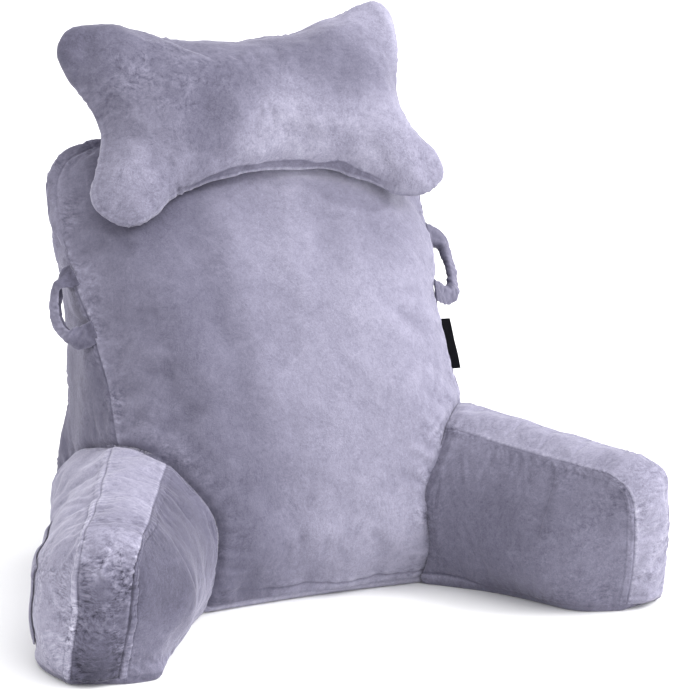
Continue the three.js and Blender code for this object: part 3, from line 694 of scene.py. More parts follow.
def build_handle(side, n=150, m=22):
    """A flat strap whose middle is folded lengthwise; its section keeps the strap's full width all the way."""
    tab = Table(STRAP_COLS, STRAP)
    t = np.linspace(0, 8, n + 1)
    r = tab(t)
    c = np.stack([r["q"] * STRAP_OUT[side], r["w"]], 1)
    d = np.gradient(c, axis=0)
    d /= np.linalg.norm(d, axis=1)[:, None]
    inn = np.stack([-d[:, 1], d[:, 0]], 1)          # in the loop's plane, towards the gap
    rise_v = STRAP_RISE / np.linalg.norm(STRAP_RISE)
    out_v = np.array([1.0, 0, 0])
    out_v = out_v - rise_v * out_v.dot(rise_v)
    out_v = rotate(out_v / np.linalg.norm(out_v), rise_v, STRAP_SWING)
    across = np.cross(out_v, rise_v)
    sig = np.linspace(-1, 1, m + 1) * STRAP_WIDE / 2
    rows_a, rows_b = [], []
    for i in range(n + 1):
        f = r["fold"][i]
        bend = f * math.radians(84)                   # each half turns this far from flat
        th = bend * np.tanh(sig / 3.2)
        step = np.diff(sig)
        tm = (th[1:] + th[:-1]) / 2
        # section: x towards the gap, y across the loop's plane
        X, Y = np.r_[0, np.cumsum(step * np.sin(tm))], np.r_[0, np.cumsum(step * np.cos(tm))]
        X, Y = X - X[m // 2], Y - Y[m // 2]
        # turned from lying across the plane (folded) to lying in it (flat ends)
        turn = (1 - soft(f / 0.9)) * math.pi / 2
        X2, Y2 = X * math.cos(turn) + Y * math.sin(turn), -X * math.sin(turn) + Y * math.cos(turn)
        X2 = (X2 - (X2.max() + X2.min()) / 2) * STRAP_OPEN[side]
        Y2 = Y2 - (Y2.max() + Y2.min()) / 2
        tx, ty = np.gradient(X2), np.gradient(Y2)
        l = np.hypot(tx, ty)
        nx, ny = -ty / l, tx / l
        edge = 1 - 0.75 * np.abs(sig / (STRAP_WIDE / 2)) ** 10
        half = STRAP_THICK / 2 * edge
        for rows, sg in ((rows_a, 1), (rows_b, -1)):
            x, y = X2 + sg * nx * half, Y2 + sg * ny * half
            p = STRAP_LOW[side] + out_v * c[i, 0] + rise_v * c[i, 1]
            p = p[None] + x[:, None] * (out_v * inn[i, 0] + rise_v * inn[i, 1])[None] + y[:, None] * across[None]
            rows.append(p)
    A, B = np.stack(rows_a), np.stack(rows_b)
    if side == "left":
        A, B = A * [-1, 1, 1], B * [-1, 1, 1]
    sh = Shell()
    ia, ib = sh.add(A), sh.add(B)
    sh.patch(ia, False, "a")
    sh.patch(ib, True, "b")
    sh.patch(np.stack([ia[:, 0], ib[:, 0]]), False)
    sh.patch(np.stack([ia[:, -1], ib[:, -1]]), True)
    sh.patch(np.stack([ia[0], ib[0]]), True)
    sh.patch(np.stack([ia[-1], ib[-1]]), False)
    v, q = sh.done()
    uv = np.zeros((len(v), 3))
    s_len = np.r_[0, np.cumsum(np.linalg.norm(np.diff(c, axis=0), axis=1))]
    for ids in (ia, ib):
        uv[ids, 0] = sig[None]
        uv[ids, 1] = s_len[:, None]
    q = outward(v, q)
    # crushed and creased where it is gripped, a row of stitches along each edge
    nrm = normals(v, q)
    k = 0 if side == "left" else 1
    fold = np.interp(uv[:, 1], s_len, r["fold"])
    rim = STRAP_WIDE / 2 - np.abs(uv[:, 0])
    h = 0.28 * along_waves(401 + k, uv[:, 1] + 0.8 * uv[:, 0], 5, 12) * (0.4 + 0.6 * fold) + 0.40 * Waves(403 + k, 10)(v)
    h -= 0.45 * np.exp(-(((rim - 3.4) / 0.8) ** 2))
    h = smooth_field(h, q, len(v), 2)
    # painted shade on the inside of the fold, where it faces the loop's middle
    middle = (STRAP_LOW[side] + out_v * 12 + rise_v * 40) * ([-1, 1, 1] if side == "left" else [1, 1, 1])
    inward = (nrm * (middle - v)).sum(1) / np.linalg.norm(middle - v, axis=1)
    share = uv[:, 1] / s_len[-1]
    tone = (0.86 if side == "left" else 0.94) * np.interp(share, *STRAP_TONE[side]) * (1 - 0.45 * soft((inward - 0.1) / 0.5) * soft(fold / 0.6))
    # painted highlight along both edges, lighter on small ridges and darker in the hollows
    tone *= 1 + 0.42 * np.exp(-((rim / 1.1) ** 2)) + 0.22 * np.clip(h, -0.8, 0.8)
    return v + nrm * h[:, None], q, uv, float(s_len[-1]), tone


# ------------------------------------------------------------------ label and pocket
def build_label(bvh):
    at, long, out, thick, swing = np.array([219.0, 196.0, 257.5]), 64.0, 18.0, 1.5, math.radians(14)
    along = np.array([0, 0.5, 0.866]) / math.hypot(0.5, 0.866)
    outv = rotate(np.array([1.0, 0, 0]), along, swing)
    flat = np.cross(outv, along)
    a, b = np.linspace(-long / 2, long / 2, 54), np.linspace(-6, out, 20)
    bb, aa = np.meshgrid(b, a)
    curl = 0.9 * np.sin(aa / 17) * np.maximum(bb, 0) / out + 0.25 * np.sin(aa / 5.3 + 1) * np.maximum(bb, 0) / out
    edge = 1 - 0.6 * np.maximum(0, (bb - out + 1.2) / 1.2) ** 2
    mid = at + aa[..., None] * along + bb[..., None] * outv - curl[..., None] * flat
    sh = Shell()
    ia = sh.add(mid - (thick / 2 * edge)[..., None] * flat)
    ib = sh.add(mid + (thick / 2 * edge)[..., None] * flat)
    sh.patch(ia, False)
    sh.patch(ib, True)
    sh.patch(np.stack([ia[:, 0], ib[:, 0]]), False)
    sh.patch(np.stack([ia[:, -1], ib[:, -1]]), True)
    sh.patch(np.stack([ia[0], ib[0]]), True)
    sh.patch(np.stack([ia[-1], ib[-1]]), False)
    v, q = sh.done()
    uv = np.zeros((len(v), 3))
    for ids in (ia, ib):
        uv[ids, 0], uv[ids, 1] = bb, aa
    return v, outward(v, q), uv


POCKET = {"a0": 64, "a1": 224, "z0": 22, "z1": 124, "thick": 2.0, "sewn": 1.2, "mouth": 1.7}


def build_pocket(nu=90, nw=64):
    """A flat patch on the left arm's outer panel, sewn down on three sides, its top edge hemmed and open."""
    def skin(a, z):
        w = z / 190
        for _ in range(5):
            u = (a - ARM_REAR) / (nose_at(w)["aO"] - ARM_REAR)
            w = w + (z - arm_panel("O", u, w, FULLER)[..., 2]) / 182
        u = (a - ARM_REAR) / (nose_at(w)["aO"] - ARM_REAR)
        return arm_panel("O", u, w, FULLER)

    fu, fw = np.meshgrid(ends_dense(nu, 0.7), ends_dense(nw, 0.7), indexing="ij")
    a, z = mix(POCKET["a0"], POCKET["a1"], fu), mix(POCKET["z0"], POCKET["z1"], fw)
    # softly rounded lower corners
    cut = 10 * (1 - soft(fw / 0.16)) * (1 - soft(np.minimum(fu, 1 - fu) / 0.10))
    z = z + cut
    c, ca, cz = skin(a, z), skin(a + 2, z), skin(a, z + 2)
    n = np.cross(ca - c, cz - c)
    n /= np.linalg.norm(n, axis=-1)[..., None]
    n *= np.where(n[..., 1:2] < 0, -1, 1)
    side = np.minimum(fu, 1 - fu) * 160
    off = POCKET["sewn"] + (POCKET["mouth"] - POCKET["sewn"]) * fw ** 1.6 * soft(side / 34 + 0.25)
    hem_depth = (1 - fw) * (POCKET["z1"] - POCKET["z0"])
    hem = 0.7 * soft((hem_depth - 1.0) / 1.5) * (1 - soft((hem_depth - 16) / 2.2))
    hem = hem - 0.8 * np.exp(-((hem_depth - 18.5) / 1.4) ** 2)
    low = fw * (POCKET["z1"] - POCKET["z0"])
    sew = np.minimum(side, low)
    stitched = -0.9 * np.exp(-((sew - 5.0) / 1.3) ** 2)
    roll = -1.1 * np.maximum(0, 1 - np.minimum(sew, hem_depth) / 1.6) ** 2
    crumple = 0.5 * np.sin(a / 11 + z / 23) * soft(sew / 20)
    face = off + POCKET["thick"] + hem + stitched + roll + crumple * 0.6
    sh = Shell()
    out = sh.add(to_plan(c + n * face[..., None], True))
    inn = sh.add(to_plan(c + n * off[..., None], True))
    sh.patch(out, True)
    sh.patch(inn, False)
    sh.patch(np.stack([out[:, 0], inn[:, 0]]), False)
    sh.patch(np.stack([out[:, -1], inn[:, -1]]), True)
    sh.patch(np.stack([out[0], inn[0]]), True)
    sh.patch(np.stack([out[-1], inn[-1]]), False)
    v, q = sh.done()
    uv = np.zeros((len(v), 3))
    for ids in (out, inn):
        uv[ids, 0], uv[ids, 1] = a, z
    return v, outward(v, q), uv


# ------------------------------------------------------------------ materials
def node(nt, kind, **vals):
    n = nt.nodes.new(kind)
    for k, v in vals.items():
        setattr(n, k, v)
    return n


def noise(nt, vec, scale, detail=3.0, rough=0.55, distort=0.0):
    n = node(nt, "ShaderNodeTexNoise")
    n.inputs["Scale"].default_value = scale
    n.inputs["Detail"].default_value = detail
    n.inputs["Roughness"].default_value = rough
    n.inputs["Distortion"].default_value = distort
    nt.links.new(vec, n.inputs["Vector"])
    return n.outputs["Fac"]


def math_node(nt, op, a, b=None, c=None, clamp=False):
    n = node(nt, "ShaderNodeMath", operation=op, use_clamp=clamp)
    for i, x in enumerate((a, b, c)):
        if x is None:
            continue
        if isinstance(x, (int, float)):
            n.inputs[i].default_value = x
        else:
            nt.links.new(x, n.inputs[i])
    return n.outputs[0]


def scaled(nt, vec, xyz, add=(0, 0, 0)):
    n = node(nt, "ShaderNodeVectorMath", operation="MULTIPLY_ADD")
    nt.links.new(vec, n.inputs[0])
    n.inputs[1].default_value = xyz
    n.inputs[2].default_value = add
    return n.outputs[0]


# red, green and blue of the pile as it goes from dark to light: the darker, the bluer
PILE = [(0.03, 0.0285, 0.043), (0.10, 0.0955, 0.137), (0.18, 0.1730, 0.233), (0.26, 0.2510, 0.325), (0.36, 0.3500, 0.437), (0.62, 0.6100, 0.720)]
PILE_TOP = 0.62


def velvet(name, base, seed=0.0, nap=1.0, grain_amp=1.0):
    """Short crushed pile: cloudy nap, brushed streaks, curly crush marks and fibre grain, painted shade in creases,
    with a soft edge sheen.
    """
    mat = bpy.data.materials.new(name)
    mat.use_nodes = True
    nt = mat.node_tree
    nt.nodes.clear()
    out = node(nt, "ShaderNodeOutputMaterial")
    sh = node(nt, "ShaderNodeBsdfPrincipled")
    nt.links.new(sh.outputs[0], out.inputs[0])
    tc = node(nt, "ShaderNodeTexCoord").outputs["Object"]
    pan = node(nt, "ShaderNodeAttribute", attribute_name="pan").outputs["Vector"]
    tone = node(nt, "ShaderNodeAttribute", attribute_name="tone").outputs["Fac"]
    crease = node(nt, "ShaderNodeAttribute", attribute_name="crease").outputs["Fac"]
    crush = node(nt, "ShaderNodeAttribute", attribute_name="crush").outputs["Fac"]
    here = scaled(nt, tc, (1, 1, 1), (seed, seed * 0.7, seed * 1.3))

    def part(x, k):
        return math_node(nt, "MULTIPLY_ADD", x, k, -0.5 * k)

    cloud = noise(nt, here, 8.0, 3.0, 0.55, 0.5)
    patch = noise(nt, here, 30.0, 4.0, 0.58, 1.6)
    sway = node(nt, "ShaderNodeTexNoise")
    sway.inputs["Scale"].default_value, sway.inputs["Detail"].default_value = 13.0, 2.0
    nt.links.new(here, sway.inputs["Vector"])
    bent = node(nt, "ShaderNodeVectorMath", operation="MULTIPLY_ADD")
    nt.links.new(sway.outputs["Color"], bent.inputs[0])
    bent.inputs[1].default_value = (0.045, 0.045, 0.045)
    nt.links.new(pan, bent.inputs[2])
    streak = noise(nt, scaled(nt, bent.outputs[0], (150, 150, 48), (seed, 0, 0)), 1.0, 4.0, 0.62, 0.9)
    streak2 = noise(nt, scaled(nt, bent.outputs[0], (340, 340, 130), (seed, 3, 0)), 1.0, 3.0, 0.6, 0.5)
    tuft = noise(nt, here, 185.0, 3.0, 0.62, 1.2)
    # crushed places: the pile lies every way, in patches with irregular outlines
    rough = noise(nt, scaled(nt, bent.outputs[0], (62, 62, 105), (seed, 1, 2)), 1.0, 4.0, 0.6, 0.7)
    rough2 = noise(nt, scaled(nt, bent.outputs[0], (150, 150, 290), (seed, 5, 2)), 1.0, 3.0, 0.6, 0.4)
    crumple = math_node(nt, "MULTIPLY", math_node(nt, "ADD", part(rough, 2.0), part(rough2, 2.3)), crush)
    curl = noise(nt, scaled(nt, here, (1, 1, 1), (4.1, 2.3, 0)), 62.0, 3.0, 0.55, 2.6)
    where = noise(nt, scaled(nt, here, (1, 1, 1), (9.7, 1.2, 5.0)), 11.0, 2.0, 0.5)
    fibre = noise(nt, here, 520.0, 2.0, 0.7)
    fibre2 = noise(nt, here, 1150.0, 2.0, 0.7)
    # thin curly marks where the pile changes its lie, only in some places
    line = math_node(nt, "ABSOLUTE", math_node(nt, "SUBTRACT", curl, 0.5))
    line = math_node(nt, "SUBTRACT", 1.0, math_node(nt, "MULTIPLY", line, 13.0), clamp=True)
    spot = math_node(nt, "MULTIPLY_ADD", where, 6.0, -3.0, clamp=True)
    marks = math_node(nt, "MULTIPLY", line, spot)

    lay = math_node(nt, "ADD", math_node(nt, "ADD", part(cloud, 0.50 * nap), part(patch, 0.50 * nap)), math_node(nt, "ADD", part(streak, 0.42 * nap), part(streak2, 0.36 * nap)))
    lay = math_node(nt, "ADD", lay, math_node(nt, "MULTIPLY", marks, 0.12 * nap))
    lay = math_node(nt, "ADD", lay, part(tuft, 0.34 * grain_amp))
    lay = math_node(nt, "ADD", lay, crumple)
    lay = math_node(nt, "ADD", lay, math_node(nt, "ADD", part(fibre, 0.38 * grain_amp), part(fibre2, 0.36 * grain_amp)))
    # painted shade in seams, joints and creases, from the crease attribute
    crease_shade = math_node(nt, "MULTIPLY_ADD", crease, -0.42, 1.0)
    gain = math_node(nt, "MULTIPLY", math_node(nt, "MULTIPLY", math_node(nt, "ADD", lay, 1.0), crease_shade), tone)
    gain = math_node(nt, "MULTIPLY", gain, base / PILE_TOP)
    ramp = node(nt, "ShaderNodeValToRGB")
    ramp.color_ramp.interpolation = "LINEAR"
    while len(ramp.color_ramp.elements) < len(PILE):
        ramp.color_ramp.elements.new(0.5)
    for el, rgb in zip(ramp.color_ramp.elements, PILE):
        el.position = rgb[0] / PILE_TOP
    for el, rgb in zip(ramp.color_ramp.elements, PILE):
        el.color = (*rgb, 1)
    nt.links.new(gain, ramp.inputs[0])
    nt.links.new(ramp.outputs[0], sh.inputs["Base Color"])
    sh.inputs["Roughness"].default_value = 0.88
    sh.inputs["Specular IOR Level"].default_value = 0.12
    sh.inputs["Sheen Weight"].default_value = 0.36
    sh.inputs["Sheen Roughness"].default_value = 0.36
    sh.inputs["Sheen Tint"].default_value = (0.90, 0.88, 1.0, 1)
    h = math_node(nt, "ADD", math_node(nt, "MULTIPLY", patch, 0.0005), math_node(nt, "MULTIPLY", streak, 0.0006))
    h = math_node(nt, "ADD", h, math_node(nt, "MULTIPLY", streak2, 0.0004))
    h = math_node(nt, "ADD", h, math_node(nt, "MULTIPLY", marks, 0.00025))
    h = math_node(nt, "ADD", h, math_node(nt, "MULTIPLY", fibre, 0.00034))
    h = math_node(nt, "ADD", h, math_node(nt, "MULTIPLY", tuft, 0.0005))
    h = math_node(nt, "ADD", h, math_node(nt, "MULTIPLY", crumple, 0.0005))
    h = math_node(nt, "ADD", h, math_node(nt, "MULTIPLY", fibre2, 0.00016))
    bump = node(nt, "ShaderNodeBump")
    bump.inputs["Strength"].default_value = 0.6
    bump.inputs["Distance"].default_value = 1.0
    nt.links.new(h, bump.inputs["Height"])
    nt.links.new(bump.outputs[0], sh.inputs["Normal"])
    return mat


def ribbon_mat(name):
    """Tightly woven black ribbon."""
    mat = bpy.data.materials.new(name)
    mat.use_nodes = True
    nt = mat.node_tree
    nt.nodes.clear()
    out = node(nt, "ShaderNodeOutputMaterial")
    sh = node(nt, "ShaderNodeBsdfPrincipled")
    nt.links.new(sh.outputs[0], out.inputs[0])
    pan = node(nt, "ShaderNodeAttribute", attribute_name="pan").outputs["Vector"]
    sep = node(nt, "ShaderNodeSeparateXYZ")
    nt.links.new(pan, sep.inputs[0])
    wa = math_node(nt, "SINE", math_node(nt, "MULTIPLY", sep.outputs[0], 2 * math.pi / 0.0007))
    wb = math_node(nt, "SINE", math_node(nt, "MULTIPLY", sep.outputs[1], 2 * math.pi / 0.0009))
    weave = math_node(nt, "MULTIPLY", wa, wb)
    soil = noise(nt, pan, 160.0, 3.0)
    ramp = node(nt, "ShaderNodeValToRGB")
    ramp.color_ramp.elements[0].color, ramp.color_ramp.elements[1].color = (0.0015, 0.0015, 0.002, 1), (0.007, 0.007, 0.009, 1)
    nt.links.new(math_node(nt, "MULTIPLY_ADD", weave, 0.2, math_node(nt, "MULTIPLY", soil, 0.9)), ramp.inputs[0])
    nt.links.new(ramp.outputs[0], sh.inputs["Base Color"])
    sh.inputs["Roughness"].default_value = 0.9
    sh.inputs["Specular IOR Level"].default_value = 0.03
    bump = node(nt, "ShaderNodeBump")
    bump.inputs["Strength"].default_value = 0.5
    bump.inputs["Distance"].default_value = 0.0003
    nt.links.new(weave, bump.inputs["Height"])
    nt.links.new(bump.outputs[0], sh.inputs["Normal"])
    return mat


def thread_mat(name, colour):
    """Twisted sewing thread."""
    mat = bpy.data.materials.new(name)
    mat.use_nodes = True
    nt = mat.node_tree
    sh = nt.nodes["Principled BSDF"]
    tc = node(nt, "ShaderNodeTexCoord").outputs["Object"]
    n = noise(nt, tc, 1400.0, 2.0)
    ramp = node(nt, "ShaderNodeValToRGB")
    ramp.color_ramp.elements[0].color = (*[c * 0.7 for c in colour], 1)
    ramp.color_ramp.elements[1].color = (*[min(1, c * 1.2) for c in colour], 1)
    nt.links.new(n, ramp.inputs[0])
    nt.links.new(ramp.outputs[0], sh.inputs["Base Color"])
    sh.inputs["Roughness"].default_value = 0.6
    sh.inputs["Sheen Weight"].default_value = 0.2
    return mat


PILE_BASE = 0.187
MATS = {
    "back": velvet("back_velvet", PILE_BASE, 0.0, 0.84, 1.15),
    "arm": velvet("arm_velvet", PILE_BASE, 1.7, 0.74, 1.6),
    "neck": velvet("neck_velvet", PILE_BASE, 3.1, 1.10, 1.3),
    "strap": velvet("strap_velvet", PILE_BASE, 5.3, 0.8),
    "pocket": velvet("pocket_velvet", PILE_BASE, 7.9, 0.8),
    "ribbon": ribbon_mat("label_ribbon"),
    "thread": thread_mat("thread", (0.24, 0.23, 0.33)),
}


# ------------------------------------------------------------------ how the pile lies
def spread_points(p, pts, vals, reach):
    """Smooth blend of a few given values over a panel's own coordinates."""
    w = np.exp(-((p[:, None, :] - np.array(pts, float)[None]) ** 2).sum(2) / (2 * reach * reach)) + 1e-9
    return (w * np.array(vals, float)[None]).sum(1) / w.sum(1)


# a panel whose pile runs away from the light looks darker, and one whose pile runs to it lighter; across the back's
# front this tone is also painted shade on the -X side, turned from the key light, and painted light on the +X side,
# turned to it
BACK_NAP_AND_SHADE = ([-1, -0.8, -0.55, -0.35, -0.15, 0.1, 0.4, 0.7, 1], [0.93, 0.73, 0.64, 0.69, 0.93, 1.09, 1.14, 1.16, 1.14])
NECK_NAP = (
    [(-200, 110), (-175, 40), (-60, 10), (-60, 65), (110, 40), (170, 105), (-165, -100), (20, -60), (215, -75), (120, -70)],
    [0.43, 0.84, 0.53, 0.68, 0.53, 1.20, 1.06, 1.66, 1.16, 1.33],
)


def arm_nap_and_light(name, n, tags, flat_a, flat_w, ragged):
    """Pile tone of each arm panel, partly painted light: the tops, lit from above, lighter, the right arm's front end,
    turned to the light, lighter, its inner panel and the left arm's front end, turned from it, darker; flat_a is 0 at
    the back and 1 at the front end, flat_w is 0 at the base and 1 at the top.
    """
    tone = np.ones(n)
    if name == "right":
        panel = {"inner": 0.70, "outer": 1.0, "gusset": 1.22, "nose": 1.29, "base": 0.8, "rear": 0.9}
    else:
        panel = {"inner": 0.42, "outer": 1.27, "gusset": 1.18, "nose": 0.60, "base": 0.62, "rear": 0.9}
    weight = np.zeros(n)
    tone[:] = 0
    for key, ids in tags.items():
        idx = np.unique(np.concatenate(ids))
        val = np.full(len(idx), panel.get(key, 1.0))
        if name == "left" and key == "inner":
            val += 0.40 * soft((0.62 - flat_w[idx]) / 0.55) + 0.15 * soft((0.3 - flat_a[idx]) / 0.3)
        if name == "left" and key == "outer":
            val += 0.22 * soft((0.75 - flat_w[idx]) / 0.7)
        if name == "left" and key == "gusset":
            val -= 0.34 * soft((flat_a[idx] - 0.55) / 0.3)
        if name == "left" and key == "nose":
            val += 0.52 * soft((flat_w[idx] + ragged[idx] - 0.66) / 0.26) - 0.26 * soft((0.45 - flat_w[idx]) / 0.4)
        if name == "right" and key == "inner":
            val += 0.10 * soft((flat_w[idx] - 0.62) / 0.3) + 0.11 * soft((0.3 - flat_a[idx]) / 0.3)
            val += 0.14 * soft((flat_a[idx] - 0.5) / 0.35) * soft((0.75 - flat_w[idx]) / 0.4) - 0.04 * np.exp(-(((flat_a[idx] - 0.42) / 0.14) ** 2))
        if name == "right" and key == "nose":
            val -= 0.20 * soft((flat_w[idx] - 0.75) / 0.25)
        if name == "right" and key == "gusset":
            val -= 0.26 * soft((flat_a[idx] - 0.7) / 0.25)
        tone[idx] += val
        weight[idx] += 1
    return tone / np.maximum(weight, 1)


# ------------------------------------------------------------------ relief
def seam_relief(v, line, seed, groove=1.3, wide=1.2, roll=0.9, pucker=0.6, reach=11.0, lo=6.0, hi=15.0):
    """A plain sewn seam: height change beside it (mm), its crease shade, the distance from it and along it."""
    d, s = near_line(v, line)
    g = np.exp(-((d / wide) ** 2))
    h = -groove * g + roll * np.exp(-(((d - 5.0) / 3.8) ** 2))
    strength = 0.55 + 0.45 * np.clip(along_waves(seed + 50, s, 60, 140, 6), -1, 1)
    h += pucker * strength * along_waves(seed, s, lo, hi) * np.exp(-d / reach) * (1 - 0.7 * g)
    return h, g, d, s


BAND, STITCH_IN = 8.8, 10.2          # a felled seam: the turned-under allowance, and its second row of stitches


def felled_relief(v, line, seed, panel, strong, pull=1.0):
    """A felled seam: on the panel's side the folded allowance stands up as a puckered band with a row of stitches
    behind it; it also gives painted shade along the seam and a painted highlight on the band.
    """
    d, s = near_line(v, line)
    g = np.exp(-((d / 1.1) ** 2))
    k = strong(s / line[1][-1])
    puck, slow = along_waves(seed, s, 6, 13), np.clip(along_waves(seed + 50, s, 50, 130, 6), -1, 1)
    band = soft((d - 0.6) / 1.8) * (1 - soft((d - BAND) / 1.4))
    row = np.exp(-(((d - STITCH_IN) / 0.95) ** 2))
    out = np.clip(d - STITCH_IN, 0, None)
    on = -(0.5 + 0.7 * pull) * g + k * (band * (0.9 + 0.7 * pull + 0.42 * pull * puck) - 0.95 * pull * row) + 0.55 * pull * (0.6 + 0.4 * slow) * puck * np.exp(-out / 8) * (d > BAND)
    off = -(0.5 + 0.7 * pull) * g + 0.55 * np.exp(-(((d - 3.6) / 3.0) ** 2)) + 0.5 * pull * (0.6 + 0.4 * slow) * puck * np.exp(-d / 9) * (1 - g)
    h = np.where(panel, on, off)
    shade = np.maximum((0.35 + 0.45 * pull) * g, np.where(panel, 0.45 * pull * k * row, 0))
    light = np.where(panel, k * band * (0.12 + 0.04 * pull + 0.09 * pull * puck), 0.10 * np.exp(-(((d - 2.6) / 1.6) ** 2)) * (1 + 0.8 * puck))
    return h, shade, light, d, s


def gathers(d, s, seed, pitch, reach, amp, where):
    """Small pleats that run beside a seam, fading away from it."""
    phase = 2 * np.pi * d / pitch + 1.6 * along_waves(seed, s, 55, 150, 5)
    push = np.clip(0.45 + 0.55 * along_waves(seed + 1, s, 26, 80, 8), 0, 1.6)
    wave = np.cos(phase) + 0.45 * np.cos(2.3 * phase + along_waves(seed + 2, s, 40, 90, 5))
    return amp * push * wave * np.exp(-d / reach) * soft(d / 5) * where


def settled(v, coarse, lines, cap, pull=2.5, slack=0.018, pressure=4.0, frames=20):
    """Cloth simulation of the filled cover: how far each point of v moves when the filling presses it out between its seams. mm."""
    cv, cq = coarse
    me = bpy.data.meshes.new("cover_sim")
    me.from_pydata((cv * MM).tolist(), [], [f[:3] if f[2] == f[-1] else f for f in cq.tolist()])
    ob = bpy.data.objects.new("cover_sim", me)
    scene.collection.objects.link(ob)
    pinned = cv[:, 2] < 2.0
    for line in lines:
        pinned |= near_line(cv, line)[0] < pull
    ob.vertex_groups.new(name="sewn").add(np.nonzero(pinned)[0].tolist(), 1.0, "REPLACE")
    cloth = ob.modifiers.new("cover", "CLOTH")
    st = cloth.settings
    st.quality, st.mass, st.air_damping = 5, 0.3, 4.0
    st.tension_stiffness = st.compression_stiffness = 12.0
    st.shear_stiffness, st.bending_stiffness = 6.0, 0.8
    st.use_pressure, st.uniform_pressure_force = True, pressure
    st.shrink_min = -slack
    st.vertex_group_mass = "sewn"
    st.effector_weights.gravity = 0.0
    cloth.collision_settings.use_collision = False
    cloth.point_cache.frame_start, cloth.point_cache.frame_end = 1, frames
    for f in range(1, frames + 1):
        scene.frame_set(f)
    ev = ob.evaluated_get(bpy.context.evaluated_depsgraph_get())
    out = np.empty(len(cv) * 3)
    ev.data.vertices.foreach_get("co", out)
    move = out.reshape(-1, 3) / MM - cv
    bpy.data.objects.remove(ob)
    bpy.data.meshes.remove(me)
    scene.frame_set(1)
    l = np.linalg.norm(move, axis=1)
    move *= (cap * np.tanh(l / cap) / np.maximum(l, 1e-6))[:, None]
    faces = [f[:3] if f[2] == f[-1] else f for f in cq.tolist()]
    tree = BVHTree.FromPolygons(cv.tolist(), faces)
    res = np.zeros_like(v)
    for i, p in enumerate(v):
        loc, _, k, _ = tree.find_nearest(Vector(p))
        f = faces[k]
        res[i] = np.asarray(poly_3d_calc([Vector(cv[j]) for j in f], loc)) @ move[f]
    return res


def relief_shading(h, q, n, gain, passes=8):
    """Painted shading of small relief: painted highlight on the ridges, painted shade in the hollows between."""
    return np.clip(1 + gain * (h - smooth_field(h, q, n, passes)), 0.72, 1.32)


def coarse_cover(built):
    """The closed cover of a coarse build, for the simulation."""
    v, q = built[1:3] if isinstance(built[0], Shell) else built[:2]
    return v, outward(v, q)


